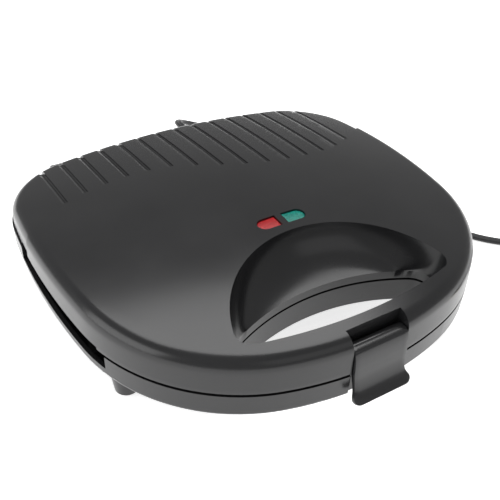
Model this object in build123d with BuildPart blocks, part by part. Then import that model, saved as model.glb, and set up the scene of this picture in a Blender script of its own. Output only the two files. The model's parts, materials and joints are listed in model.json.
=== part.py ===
"""Panini press: two hinged plastic half shells round a pair of ribbed grill plates, with a front latch.

Millimetres, +Z up, front (handle and latch) towards -Y, resting on its feet at z = 0.
"""

import os
from math import pi, radians, tan

from build123d import *

os.makedirs("parts", exist_ok=True)

# ---------------------------------------------------------------- driving sizes
body_width = 240.0
body_front = 113.0  # from the origin forwards to the front wall at the seam
body_rear = 115.0  # from the origin back to the rear wall
front_radius = 170.0
side_radius = 424.0
rear_radius = 1000.0
front_corner_radius = 95.0
rear_corner_radius = 46.0
widest_y = 35.0

seam_height = 40.0  # parting plane above the table
seam_gap = 1.4  # between the two shells, all round
wall = 2.4
wall_draft = 3.0  # degrees

crown_height = 27.5  # top of the lid above the seam
crown_y = -24.0
crown_front_radius = 526.0
crown_rear_radius = 794.0
crown_side_radius = 769.0
shoulder_radius = 8.0

rim_depth = 14.5  # lower shell's rim below the seam
rim_edge_radius = 3.0
pan_inset = 16.0  # belly of the lower shell, inside the rim
pan_floor = 12.0
pan_front_y = -34.0

side_gap_front = -47.0
side_gap_rear = 52.0
side_gap_depth = 8.5  # how far the lower rim drops along the sides
lid_edge_lift = 2.5  # how far the lid's side edge lifts along the sides

hole_rear_y = -59.0
hole_rear_radius = 114.5
hole_front_y = -98.4
hole_front_radius = 215.0
hole_end_radius = 11.0
scoop_radius = 64.0  # of the scoop's upper edge
scoop_centre_y = -99.0
scoop_front_y = -86.0
scoop_sole_half = 59.0  # half the scoop's width at the seam
scoop_sole_rear_y = -60.0
scoop_headroom = 12.0  # how far the cutting form reaches over the crown

rib_count = 15
rib_pitch = 13.2
groove_width = 3.0
groove_depth = 1.2
groove_setback = 2.8  # from the wave line to the groove ends
groove_margin = 13.0  # from the outline to the grooves' rear ends

lens_length = 12.6
lens_width = 9.0
lens_bar = 3.8  # bridge between the two lenses
lens_y = -24.7
lens_fit = 0.15

plate_flange = 2.0
plate_inset = 4.0
plate_front_y = -30.0
tray_half_length = 99.0
tray_front_y = -21.0
tray_rear_y = 84.0
plate_rear_y = 103.0
tray_corner_radius = 12.0
tray_depth = 5.0
tray_wall = 2.5
ridge_count = 25
ridge_pitch = 7.6
ridge_width = 2.6
ridge_height = 2.0
plate_recess = 0.5  # plate flange set back behind the shell's edge

element_radius = 2.5
element_half_length = 72.0
element_front_y = -8.0
element_rear_y = 56.0
element_bend = 18.0
reflector_half_length = 78.0
reflector_front_y = -20.0
reflector_rear_y = 58.0
reflector_corner = 5.0
reflector_depth = 6.1
ridge_end = 4.0
cover_gap = 0.4
cover_split = 0.6
screw_hole_room = 0.2
air_gap = 0.3  # clear gap between neighbouring pieces
sheet = 0.8
reflector_flange = 3.0

screw_radius = 1.7
screw_bore_radius = 1.75
screw_head_radius = 3.2
screw_length = 6.0
screw_head = 1.0
screw_sink = 0.1
boss_radius = 4.0

latch_width = 31.0
latch_lip_width = 35.0
latch_side_clearance = 0.6
latch_hub_radius = 3.2
latch_pin_radius = 1.5
latch_pin_fit = 0.05
latch_pin_y = -107.4
latch_pin_rise = 11.0  # pin above the seam
latch_recess_y = -103.6  # back of the recess in the lid
catch_recess_y = -109.8  # back of the recess in the lower shell
latch_block_y = -95.0
latch_block_side = 2.4
latch_nose_width = 18.0
latch_nose_height = 2.0
latch_nose_z = 35.6

hinge_y = 115.0
hinge_radius = 5.5
hinge_pin_radius = 2.0
hinge_pin_fit = 0.05
hinge_clearance = 0.7
lug_inner_x = 44.0  # lower shell's inner lug starts here
lug_width = 12.0
lug_gap = 0.4

leg_x = 97.5
leg_front_y = -37.0
leg_rear_y = 76.0
leg_top_radius = 9.5
leg_foot_radius = 6.5
foot_radius = 5.2
foot_height = 2.0
foot_stem_radius = 2.4
foot_stem_length = 5.0
foot_fit = 0.05

cord_diameter = 5.4
cord_exit_x = 26.0
cord_exit_z = 33.0
relief_root_radius = 4.6
relief_tip_radius = 3.3
relief_neck_radius = 3.6
relief_flange_radius = 4.7
relief_flange = 1.4
relief_fit = 0.05

terminal_size = (24.0, 12.0, 8.0)
terminal_y = 84.0
terminal_pitch = 4.0
terminal_tab = 3.0
thermostat_radius = 8.0
thermostat_height = 10.0
thermostat_y = 24.0
fuse_radius = 2.2
fuse_length = 13.0
fuse_x = 32.0

lamp_radius = 3.0
lamp_height = 4.4
lamp_cup_wall = 1.0
lamp_holder_width = 46.0
lamp_holder_depth = 13.0
lamp_boss_x = 20.0
lamp_boss_radius = 2.6
lamp_boss_drop = 9.8
lamp_gap = 0.15
lamp_holder_plate = 1.6
lamp_holder_corner = 2.0
lamp_screw_radius = 0.9
lamp_screw_length = 6.0
lens_recess = 0.6
lens_flange = 1.0

coil_radius = 30.0  # to the middle of its turns
coil_width = 10.8
coil_height = 10.6
coil_lift = 0.7
coil_turns = 2.5
tie_sheet = 0.4
tie_width = 6.0
tie_gap = 0.25
plug_length = 34.0
plug_width = 25.0
plug_height = 13.0
plug_neck_length = 26.0
plug_neck_radius = 3.4
plug_lead = 12.0
plug_pin_radius = 2.4
plug_pin_length = 19.0
plug_pin_pitch = 18.6
plug_pin_root = 4.0
coil_corner = 4.6

# The free run of the lead: straight out of the relief, down to the table and round the right side.
CORD_ROUTE = [
    (26.0, 141.0, 33.0),
    (26.3, 149.5, 32.3),
    (28.8, 158.2, 29.8),
    (34.8, 166.0, 25.2),
    (44.5, 171.0, 19.0),
    (57.5, 172.5, 12.5),
    (72.0, 170.5, 7.0),
    (88.0, 165.5, 3.8),
    (105.0, 157.0, 2.8),
    (121.0, 145.0, 2.8),
    (133.5, 129.0, 2.8),
    (142.0, 109.0, 2.8),
    (146.5, 84.0, 2.8),
    (147.0, 55.0, 2.8),
    (145.5, 26.0, 2.8),
    (147.0, 0.0, 2.8),
    (154.0, -25.0, 2.8),
    (174.0, -46.5, 2.8),
    (196.0, -54.5, 2.8),
    (216.0, -57.0, 2.8),
]

# ---------------------------------------------------------------- derived levels
lid_edge = seam_height + seam_gap / 2
rim_top = seam_height - seam_gap / 2
rim_bottom = seam_height - rim_depth
crown_top = seam_height + crown_height
lid_plate_z = lid_edge + plate_recess
base_plate_z = rim_top - plate_recess
half_width = body_width / 2
top_clear = 100.0


def outline(inset=0.0):
    """Plan of the shells at the seam, drawn in by inset: four wide arcs with rounded corners."""
    with BuildSketch() as plan:
        with Locations((0, front_radius - body_front)):
            Circle(front_radius - inset)
        with Locations((half_width - side_radius, widest_y)):
            Circle(side_radius - inset, mode=Mode.INTERSECT)
        with Locations((side_radius - half_width, widest_y)):
            Circle(side_radius - inset, mode=Mode.INTERSECT)
        with Locations((0, body_rear - rear_radius)):
            Circle(rear_radius - inset, mode=Mode.INTERSECT)
        fillet(plan.vertices().group_by(Axis.Y)[0], front_corner_radius - inset)
        fillet(plan.vertices().group_by(Axis.Y)[-1], rear_corner_radius - inset)
    return plan.sketch


def hand_hole(grow=0.0):
    """Plan of the hole behind the handle, grown outwards by grow: two wide arcs with rounded ends."""
    rear_arc = hole_rear_radius + grow
    front_arc = hole_front_radius + grow
    with BuildSketch() as plan:
        with Locations((0, hole_rear_y - hole_rear_radius)):
            Circle(rear_arc)
        with Locations((0, hole_front_y + hole_front_radius)):
            Circle(front_arc, mode=Mode.INTERSECT)
        fillet(plan.vertices(), hole_end_radius + grow)
    return plan.sketch


def scoop(grow=0.0):
    """The finger scoop over the hole: it tapers from the lid's top down to the seam, grown by grow."""
    reach = scoop_radius + grow
    sink_z = lid_edge - 1
    top_z = crown_top + scoop_headroom
    half_chord = (reach**2 - (scoop_front_y - scoop_centre_y) ** 2) ** 0.5
    rim_ends = ((-half_chord, scoop_front_y), (half_chord, scoop_front_y))
    rim_rear = (0, scoop_centre_y + reach)
    sole_ends = ((-scoop_sole_half - grow, scoop_front_y), (scoop_sole_half + grow, scoop_front_y))
    sole_rear = (0, scoop_sole_rear_y + grow)
    with BuildPart() as hollow:
        with BuildSketch(Plane.XY.offset(top_z)):
            with BuildLine():
                ThreePointArc(rim_ends[0], rim_rear, rim_ends[1])
                Line(rim_ends[1], rim_ends[0])
            make_face()
        extrude(amount=-top_z + crown_top - 2)
        with BuildSketch(Plane.XY.offset(crown_top - 2)):
            with BuildLine():
                ThreePointArc(rim_ends[0], rim_rear, rim_ends[1])
                Line(rim_ends[1], rim_ends[0])
            make_face()
        with BuildSketch(Plane.XY.offset(sink_z)):
            with BuildLine():
                ThreePointArc(sole_ends[0], sole_rear, sole_ends[1])
                Line(sole_ends[1], sole_ends[0])
            make_face()
        loft(ruled=True)
    return hollow.part


def crown(drop=0.0):
    """Everything under the lid's crowned top, lowered by drop: one arc turned about two axes."""
    top = crown_top - drop
    side = crown_side_radius - drop
    reach = half_width + 15
    fall = side - (side**2 - reach**2) ** 0.5
    plane = Plane.XZ.offset(-crown_y)
    rear_axis = Axis((0, crown_y, top - crown_rear_radius + drop), (1, 0, 0))
    front_axis = Axis((0, crown_y, top - crown_front_radius + drop), (1, 0, 0))
    with BuildPart() as body:
        for axis, turn in ((rear_axis, -13), (front_axis, 11)):
            with BuildSketch(plane):
                with BuildLine():
                    ThreePointArc((-reach, top - fall), (0, top), (reach, top - fall))
                    Polyline((reach, top - fall), (reach, 20), (-reach, 20), (-reach, top - fall))
                make_face()
            revolve(axis=axis, revolution_arc=turn)
    return body.part


def lid_form(inset=0.0, drop=0.0, rounding=shoulder_radius):
    """The lid's outer or inner form: drafted outline under the crown, with a rounded shoulder."""
    with BuildPart() as form:
        with BuildSketch(Plane.XY.offset(lid_edge)):
            add(outline(inset))
        extrude(amount=crown_height + 10, taper=wall_draft)
        add(crown(drop), mode=Mode.INTERSECT)
        walls = form.faces().filter_by(lambda face: abs(face.normal_at().Z) < 0.3)
        upper_edges = walls.edges().filter_by(lambda edge: edge.bounding_box().min.Z > lid_edge + 1)
        fillet(upper_edges.filter_by(lambda edge: edge.geom_type != GeomType.LINE), rounding)
    return form.part


def band(low_y, high_y, reach=200.0):
    """A wide rectangle between two y values, as a sketch."""
    with BuildSketch() as strip:
        with Locations((0, (low_y + high_y) / 2)):
            Rectangle(2 * reach, high_y - low_y)
    return strip.sketch


def latch_block(grow=0.0):
    """Plan of the solid block that carries the latch, grown by grow."""
    half = latch_width / 2 + latch_side_clearance + latch_block_side + grow
    with BuildSketch() as plan:
        with Locations((0, latch_block_y + grow - 20)):
            Rectangle(2 * half, 40)
    return plan.sketch


latch_half = latch_width / 2 + latch_side_clearance
plate_screw_spots = [(106.3, -22.0), (-106.3, -22.0), (98.0, 92.0), (-98.0, 92.0)]
cover_screw_spots = [(90.0, -60.0), (-90.0, -60.0), (48.0, -38.0), (-48.0, -38.0)]
lower_lugs = [lug_inner_x, lug_inner_x + 2 * (lug_width + lug_gap)]
upper_lugs = [lug_inner_x + lug_width + lug_gap]
wave_line = [
    (-125, 34),
    (-109, 46),
    (-90, 54),
    (-68, 58),
    (-48, 58.2),
    (-27, 54.3),
    (-9, 44.5),
    (8, 35.5),
    (27, 29.6),
    (48, 27.2),
    (69, 29),
    (88, 36),
    (109, 50.5),
    (125, 64),
]


def lug_blocks(spans, low_z, high_z):
    """Hinge barrels on their arms, over the given x spans on both sides."""
    with BuildPart() as lugs:
        for start in spans:
            for side in (1, -1):
                middle = side * (start + lug_width / 2)
                with BuildSketch(Plane.YZ.offset(middle - lug_width / 2)):
                    with Locations((hinge_y, seam_height)):
                        Circle(hinge_radius)
                    with Locations((hinge_y - 4, (low_z + high_z) / 2)):
                        Rectangle(8, high_z - low_z)
                extrude(amount=lug_width)
    return lugs.part


def lug_clearance(spans):
    """Room for the other shell's barrels over the given spans."""
    with BuildPart() as room:
        for start in spans:
            for side in (1, -1):
                middle = side * (start + lug_width / 2)
                length = lug_width + 2 * lug_gap
                with BuildSketch(Plane.YZ.offset(middle - length / 2)):
                    with Locations((hinge_y, seam_height)):
                        Circle(hinge_radius + hinge_clearance)
                extrude(amount=length)
    return room.part


def pin_bores():
    """The bore for each hinge pin, right through its lugs."""
    length = 3 * lug_width + 2 * lug_gap
    with BuildPart() as bores:
        for start in (lug_inner_x, -lug_inner_x - length):
            with BuildSketch(Plane.YZ.offset(start - 1)):
                with Locations((hinge_y, seam_height)):
                    Circle(hinge_pin_radius + hinge_pin_fit)
            extrude(amount=length + 2)
    return bores.part


def lens_plan(side, grow=0.0):
    """One indicator window: square at the bridge, round at its outer end; side is -1 or 1."""
    radius = lens_width / 2
    inner_x = lens_bar / 2
    middle = inner_x + lens_length - radius
    with BuildSketch() as plan:
        with Locations((side * (inner_x + middle) / 2, lens_y)):
            Rectangle(middle - inner_x, lens_width)
        with Locations((side * middle, lens_y)):
            Circle(radius)
        if grow:
            offset(amount=grow)
    return plan.sketch


def grill_plate(face_z, up):
    """A ribbed tray with a flange round it; up is 1 for the lid's plate and -1 for the base's."""
    tray_y = (tray_front_y + tray_rear_y) / 2
    tray_length = tray_rear_y - tray_front_y
    with BuildPart() as plate:
        with BuildSketch(Plane.XY.offset(face_z)):
            add(outline(plate_inset))
            add(band(plate_front_y, plate_rear_y), mode=Mode.INTERSECT)
        extrude(amount=up * plate_flange)
        with BuildSketch(Plane.XY.offset(face_z)):
            with Locations((0, tray_y)):
                RectangleRounded(
                    2 * (tray_half_length + tray_wall),
                    tray_length + 2 * tray_wall,
                    tray_corner_radius + tray_wall,
                )
        extrude(amount=up * (tray_depth + tray_wall))
        with BuildSketch(Plane.XY.offset(face_z)):
            with Locations((0, tray_y)):
                RectangleRounded(2 * tray_half_length, tray_length, tray_corner_radius)
        extrude(amount=up * tray_depth, mode=Mode.SUBTRACT)
        with BuildSketch(Plane.XY.offset(face_z + up * (tray_depth - ridge_height))):
            with Locations((0, tray_y)):
                with GridLocations(ridge_pitch, 1, ridge_count, 1):
                    SlotOverall(tray_length - 2 * ridge_end, ridge_width, rotation=90)
        extrude(amount=up * (ridge_height + tray_wall / 2))
        add(screw_holes(plate_screw_spots, face_z, up), mode=Mode.SUBTRACT)
    return plate.part


def screw_holes(spots, face_z, up):
    """Cutters for counterbored screw holes through a flange."""
    with BuildPart() as holes:
        with BuildSketch(Plane.XY.offset(face_z)):
            with Locations(*spots):
                Circle(screw_head_radius + screw_hole_room)
        extrude(amount=up * (screw_head + screw_sink))
        with BuildSketch(Plane.XY.offset(face_z)):
            with Locations(*spots):
                Circle(screw_radius + screw_hole_room)
        extrude(amount=up * 2 * plate_flange)
    return holes.part


def screw_set(spots, face_z, up, length=screw_length):
    """Pan-head screws with their heads on the face_z side."""
    with BuildPart() as screws:
        with BuildSketch(Plane.XY.offset(face_z + up * screw_sink)):
            with Locations(*spots):
                Circle(screw_head_radius)
        extrude(amount=up * screw_head)
        with BuildSketch(Plane.XY.offset(face_z + up * screw_sink)):
            with Locations(*spots):
                Circle(screw_radius)
        extrude(amount=up * length)
    return screws.part


def handle_cover(face_z, up):
    """The flat cover that closes a shell's front round the hand hole."""
    with BuildPart() as cover:
        with BuildSketch(Plane.XY.offset(face_z)):
            add(outline(wall + cover_gap))
            add(band(-body_front - 10, plate_front_y - cover_split), mode=Mode.INTERSECT)
            add(hand_hole(wall + cover_gap), mode=Mode.SUBTRACT)
            add(latch_block(cover_gap), mode=Mode.SUBTRACT)
        extrude(amount=up * plate_flange)
        add(screw_holes(cover_screw_spots, face_z, up), mode=Mode.SUBTRACT)
    return cover.part


def heating_element(height):
    """A tubular heater bent to a U, its middle line at the given height."""
    with BuildPart() as element:
        with BuildLine():
            FilletPolyline(
                (-element_half_length, element_rear_y, height),
                (-element_half_length, element_front_y, height),
                (element_half_length, element_front_y, height),
                (element_half_length, element_rear_y, height),
                radius=element_bend,
            )
        with BuildSketch(Plane.XZ.offset(-element_rear_y)):
            with Locations((-element_half_length, height)):
                Circle(element_radius)
        sweep()
    return element.part


def reflector(back_z, up):
    """A shallow sheet pan behind the heater, open towards the plate."""
    middle_y = (reflector_front_y + reflector_rear_y) / 2
    length = reflector_rear_y - reflector_front_y
    width = 2 * reflector_half_length
    start = back_z + up * air_gap
    with BuildPart() as pan:
        with BuildSketch(Plane.XY.offset(start)):
            with Locations((0, middle_y)):
                RectangleRounded(
                    width + 2 * reflector_flange,
                    length + 2 * reflector_flange,
                    reflector_corner + reflector_flange,
                )
        extrude(amount=up * sheet)
        with BuildSketch(Plane.XY.offset(start)):
            with Locations((0, middle_y)):
                RectangleRounded(width, length, reflector_corner)
        extrude(amount=up * reflector_depth)
        with BuildSketch(Plane.XY.offset(start)):
            with Locations((0, middle_y)):
                RectangleRounded(width - 2 * sheet, length - 2 * sheet, reflector_corner - sheet)
        extrude(amount=up * (reflector_depth - sheet), mode=Mode.SUBTRACT)
    return pan.part


# ---------------------------------------------------------------- upper housing
with BuildPart() as lid_cavity:
    add(lid_form(wall, wall, shoulder_radius - wall))
    add(scoop(wall), mode=Mode.SUBTRACT)
    with BuildSketch(Plane.XY.offset(lid_edge - 1)):
        add(hand_hole(wall))
        add(latch_block())
    extrude(amount=top_clear, mode=Mode.SUBTRACT)

with BuildPart() as grooves:
    first = -(rib_count - 1) / 2 * rib_pitch
    with BuildSketch(Plane.XZ.offset(-crown_y)):
        for i in range(rib_count):
            rib_x = first + i * rib_pitch
            rib_z = crown_top - crown_side_radius + (crown_side_radius**2 - rib_x**2) ** 0.5
            with Locations((rib_x, rib_z)):
                Rectangle(groove_width, 2 * groove_depth)
    revolve(axis=Axis((0, crown_y, crown_top - crown_rear_radius), (1, 0, 0)), revolution_arc=-13)
    with BuildSketch(Plane.XY.offset(lid_edge)) as rear_zone:
        with BuildLine():
            behind = [(x, y + groove_setback) for x, y in wave_line]
            Spline(*behind)
            Polyline(behind[-1], (behind[-1][0], 200), (behind[0][0], 200), behind[0])
        make_face()
        add(outline(groove_margin), mode=Mode.INTERSECT)
    extrude(amount=top_clear, mode=Mode.INTERSECT)

with BuildPart() as upper_housing:
    add(lid_form())
    add(lid_cavity.part, mode=Mode.SUBTRACT)
    with BuildPart(mode=Mode.PRIVATE) as bosses:
        with BuildSketch(Plane.XY.offset(lid_plate_z + plate_flange + air_gap)):
            with Locations(*plate_screw_spots, *cover_screw_spots):
                Circle(boss_radius)
        extrude(amount=top_clear)
        with BuildSketch(Plane.XY.offset(crown_top - lamp_boss_drop)):
            with Locations((lamp_boss_x, lens_y), (-lamp_boss_x, lens_y)):
                Circle(lamp_boss_radius)
        extrude(amount=top_clear)
        add(lid_form(wall / 2, wall / 2, shoulder_radius - wall / 2), mode=Mode.INTERSECT)
    add(bosses.part)
    add(scoop(), mode=Mode.SUBTRACT)
    with BuildSketch(Plane.XY.offset(lid_edge - 1)):
        add(hand_hole())
        with Locations((0, latch_recess_y - 20)):
            Rectangle(2 * latch_half, 40)
    extrude(amount=top_clear, mode=Mode.SUBTRACT)
    with BuildSketch(Plane.XY.offset(crown_top - 8)):
        add(lens_plan(1))
        add(lens_plan(-1))
    extrude(amount=20, mode=Mode.SUBTRACT)
    add(grooves.part, mode=Mode.SUBTRACT)
    with BuildSketch(Plane.XY.offset(lid_edge - 1)):
        add(band(side_gap_front + 5, side_gap_rear))
        add(outline(wall + air_gap), mode=Mode.SUBTRACT)
    extrude(amount=lid_edge_lift - seam_gap / 2 + 1, mode=Mode.SUBTRACT)
    add(lug_blocks(upper_lugs, lid_edge, seam_height + hinge_radius))
    add(lug_clearance(lower_lugs), mode=Mode.SUBTRACT)
    add(pin_bores(), mode=Mode.SUBTRACT)
    with BuildSketch(Plane.XY.offset(lid_edge)):
        with Locations(*plate_screw_spots, *cover_screw_spots):
            Circle(screw_bore_radius)
    extrude(amount=lid_plate_z + screw_length + air_gap - lid_edge, mode=Mode.SUBTRACT)
    with BuildSketch(Plane.XY.offset(crown_top - lamp_boss_drop)):
        with Locations((lamp_boss_x, lens_y), (-lamp_boss_x, lens_y)):
            Circle(lamp_screw_radius + screw_hole_room / 4)
    extrude(amount=lamp_screw_length, mode=Mode.SUBTRACT)
    with BuildSketch(Plane.YZ.offset(-latch_half - latch_block_side)):
        with Locations((latch_pin_y, seam_height + latch_pin_rise)):
            Circle(latch_pin_radius + latch_pin_fit)
    extrude(amount=2 * (latch_half + latch_block_side), mode=Mode.SUBTRACT)
upper_housing.part.label = "upper_housing"
export_step(upper_housing.part, "parts/upper_housing.step")

# ---------------------------------------------------------------- lid's inner pieces
with BuildPart() as upper_handle_cover:
    add(handle_cover(lid_plate_z, 1))
    add(scoop(wall + cover_gap), mode=Mode.SUBTRACT)
upper_handle_cover.part.label = "upper_handle_cover"
export_step(upper_handle_cover.part, "parts/upper_handle_cover.step")

upper_grill_plate = grill_plate(lid_plate_z, 1)
upper_grill_plate.label = "upper_grill_plate"
export_step(upper_grill_plate, "parts/upper_grill_plate.step")

upper_plate_back = lid_plate_z + tray_depth + tray_wall
upper_element = heating_element(upper_plate_back + air_gap + element_radius)
upper_element.label = "upper_element"
export_step(upper_element, "parts/upper_element.step")

upper_reflector = reflector(upper_plate_back, 1)
upper_reflector.label = "upper_reflector"
export_step(upper_reflector, "parts/upper_reflector.step")

upper_plate_screws = screw_set(plate_screw_spots, lid_plate_z, 1)
upper_plate_screws.label = "upper_plate_screws"
export_step(upper_plate_screws, "parts/upper_plate_screws.step")

upper_cover_screws = screw_set(cover_screw_spots, lid_plate_z, 1)
upper_cover_screws.label = "upper_cover_screws"
export_step(upper_cover_screws, "parts/upper_cover_screws.step")

# ---------------------------------------------------------------- indicator lamps
lens_back = crown_top - wall - air_gap - lens_flange
lens_middle = lens_bar / 2 + lens_length / 2
holder_top = crown_top - lamp_boss_drop - air_gap
lamp_shoulder_z = holder_top + lamp_gap + lamp_height - lamp_radius / 2
for name, side in (("red", -1), ("green", 1)):
    with BuildPart() as lens:
        with BuildSketch(Plane.XY.offset(lens_back)):
            add(lens_plan(side, -lens_fit))
        extrude(amount=crown_top - lens_recess - lens_back)
        with BuildSketch(Plane.XY.offset(lens_back)):
            add(lens_plan(side, lens_flange))
        extrude(amount=lens_flange)
    lens.part.label = name + "_lens"
    export_step(lens.part, "parts/" + name + "_lens.step")

    with BuildPart() as neon:
        with BuildSketch(Plane.XZ.offset(-lens_y)):
            with BuildLine():
                Polyline(
                    (side * lens_middle, holder_top + lamp_gap + lamp_height),
                    (side * lens_middle, holder_top + lamp_gap),
                    (side * lens_middle + lamp_radius, holder_top + lamp_gap),
                    (side * lens_middle + lamp_radius, lamp_shoulder_z),
                )
                Spline(
                    (side * lens_middle + lamp_radius, lamp_shoulder_z),
                    (side * lens_middle, holder_top + lamp_gap + lamp_height),
                    tangents=[(0, 1), (-1, 0)],
                )
            make_face()
        revolve(axis=Axis((side * lens_middle, lens_y, 0), (0, 0, 1)))
    neon.part.label = name + "_neon"
    export_step(neon.part, "parts/" + name + "_neon.step")

with BuildPart() as lamp_holder:
    with BuildSketch(Plane.XY.offset(holder_top)):
        with Locations((0, lens_y)):
            RectangleRounded(lamp_holder_width, lamp_holder_depth, lamp_holder_corner)
    extrude(amount=-lamp_holder_plate)
    with BuildSketch(Plane.XY.offset(holder_top)):
        with Locations((lens_middle, lens_y), (-lens_middle, lens_y)):
            Circle(lamp_radius + lamp_gap + lamp_cup_wall)
            Circle(lamp_radius + lamp_gap, mode=Mode.SUBTRACT)
    extrude(amount=lens_back - air_gap - holder_top)
    with BuildSketch(Plane.XY.offset(holder_top)):
        with Locations((lamp_boss_x, lens_y), (-lamp_boss_x, lens_y)):
            Circle(lamp_screw_radius + screw_hole_room)
    extrude(amount=-lamp_holder_plate, mode=Mode.SUBTRACT)
lamp_holder.part.label = "lamp_holder"
export_step(lamp_holder.part, "parts/lamp_holder.step")

with BuildPart() as lamp_screws:
    with BuildSketch(Plane.XY.offset(holder_top - lamp_holder_plate)):
        with Locations((lamp_boss_x, lens_y), (-lamp_boss_x, lens_y)):
            Circle(2 * lamp_screw_radius)
    extrude(amount=-screw_head)
    with BuildSketch(Plane.XY.offset(holder_top - lamp_holder_plate)):
        with Locations((lamp_boss_x, lens_y), (-lamp_boss_x, lens_y)):
            Circle(lamp_screw_radius)
    extrude(amount=lamp_screw_length)
lamp_screws.part.label = "lamp_screws"
export_step(lamp_screws.part, "parts/lamp_screws.step")

# ---------------------------------------------------------------- latch
pin_z = seam_height + latch_pin_rise
with BuildPart() as latch:
    with BuildSketch(Plane.YZ.offset(-latch_width / 2)):
        with BuildLine():
            Spline(
                (-110.2, 57.8), (-112.9, 55.4), (-113.6, 50), (-113.9, 42), (-114.5, 36.5), (-116.2, 31.5)
            )
            Line((-116.2, 31.5), (-113.5, 31.5))
            Spline((-113.5, 31.5), (-111.8, 36.5), (-111.2, 42), (-110.8, 50), (-110.2, 57.8))
        make_face()
    extrude(amount=latch_width)
    with BuildSketch(Plane.YZ.offset(-latch_lip_width / 2)):
        with BuildLine():
            Spline((-116.2, 31.5), (-118.4, 28.2), (-120.5, 26.2))
            Spline((-120.5, 26.2), (-119.9, 24.7), (-118.6, 24.6))
            Spline((-118.6, 24.6), (-115.4, 27.8), (-113.5, 31.5))
            Line((-113.5, 31.5), (-116.2, 31.5))
        make_face()
    extrude(amount=latch_lip_width)
    with BuildSketch(Plane.YZ.offset(-latch_width / 2)):
        with Locations((latch_pin_y, pin_z)):
            Circle(latch_hub_radius)
        with Locations(((latch_pin_y - 112) / 2, pin_z)):
            Rectangle(latch_pin_y + 112, latch_hub_radius)
    extrude(amount=latch_width)
    with BuildSketch(Plane.YZ.offset(-latch_nose_width / 2)):
        with Locations((-111.2, latch_nose_z)):
            Rectangle(2, latch_nose_height)
    extrude(amount=latch_nose_width)
    with BuildSketch(Plane.YZ.offset(-latch_width)):
        with Locations((latch_pin_y, pin_z)):
            Circle(latch_pin_radius + latch_pin_fit)
    extrude(amount=2 * latch_width, mode=Mode.SUBTRACT)
latch.part.label = "latch"
export_step(latch.part, "parts/latch.step")

with BuildPart() as latch_pin:
    with BuildSketch(Plane.YZ.offset(-latch_half - latch_block_side)):
        with Locations((latch_pin_y, pin_z)):
            Circle(latch_pin_radius)
    extrude(amount=2 * (latch_half + latch_block_side))
latch_pin.part.label = "latch_pin"
export_step(latch_pin.part, "parts/latch_pin.step")

# ---------------------------------------------------------------- lower housing
leg_spots = [(leg_x, leg_front_y), (-leg_x, leg_front_y), (leg_x, leg_rear_y), (-leg_x, leg_rear_y)]
relief_wall_y = body_rear - cord_exit_x**2 / (2 * rear_radius)
with BuildPart() as lower_housing:
    with BuildSketch(Plane.XY.offset(rim_bottom)):
        add(outline())
    extrude(amount=rim_top - rim_bottom)
    fillet(lower_housing.faces().sort_by(Axis.Z)[0].edges(), rim_edge_radius)
    with BuildSketch(Plane.XY.offset(pan_floor)):
        add(outline(pan_inset))
        add(band(pan_front_y, body_rear), mode=Mode.INTERSECT)
    extrude(amount=rim_bottom + wall / 2 - pan_floor)
    fillet(lower_housing.faces().sort_by(Axis.Z)[0].edges(), rim_edge_radius)
    for spot in leg_spots:
        with BuildSketch(Plane.XY.offset(foot_height)):
            with Locations(spot):
                Circle(leg_foot_radius)
        with BuildSketch(Plane.XY.offset(rim_bottom + wall / 2)):
            with Locations(spot):
                Circle(leg_top_radius)
        loft()
    with BuildSketch(Plane.XY.offset(rim_bottom + wall)):
        add(outline(wall))
        add(hand_hole(wall), mode=Mode.SUBTRACT)
        add(latch_block(), mode=Mode.SUBTRACT)
    extrude(amount=rim_depth, mode=Mode.SUBTRACT)
    with BuildSketch(Plane.XY.offset(pan_floor + wall)):
        add(outline(pan_inset + wall))
        add(band(pan_front_y + wall, body_rear), mode=Mode.INTERSECT)
    extrude(amount=rim_depth, mode=Mode.SUBTRACT)
    with BuildSketch(Plane.XY.offset(rim_bottom + wall / 2)):
        with Locations(*plate_screw_spots, *cover_screw_spots):
            Circle(boss_radius)
    extrude(amount=base_plate_z - plate_flange - air_gap - rim_bottom - wall / 2)
    with BuildSketch(Plane.XY.offset(foot_height + foot_stem_length + wall)):
        with Locations(*leg_spots):
            Circle(leg_foot_radius - wall / 2)
    extrude(amount=rim_bottom - foot_height - foot_stem_length, mode=Mode.SUBTRACT)
    with BuildSketch(Plane.XY.offset(foot_height)):
        with Locations(*leg_spots):
            Circle(foot_stem_radius + foot_fit)
    extrude(amount=foot_stem_length, mode=Mode.SUBTRACT)
    with BuildSketch(Plane.XY.offset(rim_bottom - 1)):
        add(hand_hole())
        with Locations((0, catch_recess_y - 20)):
            Rectangle(2 * latch_half, 40)
    extrude(amount=rim_depth + 2, mode=Mode.SUBTRACT)
    with BuildSketch(Plane.XY.offset(seam_height - side_gap_depth)):
        add(band(side_gap_front, side_gap_rear))
        add(outline(wall + air_gap), mode=Mode.SUBTRACT)
    extrude(amount=rim_depth, mode=Mode.SUBTRACT)
    add(lug_blocks(lower_lugs, seam_height - hinge_radius, rim_top))
    add(lug_clearance(upper_lugs), mode=Mode.SUBTRACT)
    add(pin_bores(), mode=Mode.SUBTRACT)
    with BuildSketch(Plane.XY.offset(rim_top)):
        with Locations(*plate_screw_spots, *cover_screw_spots):
            Circle(screw_bore_radius)
    extrude(amount=-(rim_top - base_plate_z + screw_length + air_gap), mode=Mode.SUBTRACT)
    with BuildSketch(Plane.XZ.offset(-body_rear + 2 * wall)):
        with Locations((cord_exit_x, cord_exit_z)):
            Circle(relief_neck_radius + relief_fit)
    extrude(amount=-4 * wall, mode=Mode.SUBTRACT)
lower_housing.part.label = "lower_housing"
export_step(lower_housing.part, "parts/lower_housing.step")

# ---------------------------------------------------------------- base's inner pieces
lower_handle_cover = handle_cover(base_plate_z, -1)
lower_handle_cover.label = "lower_handle_cover"
export_step(lower_handle_cover, "parts/lower_handle_cover.step")

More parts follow.
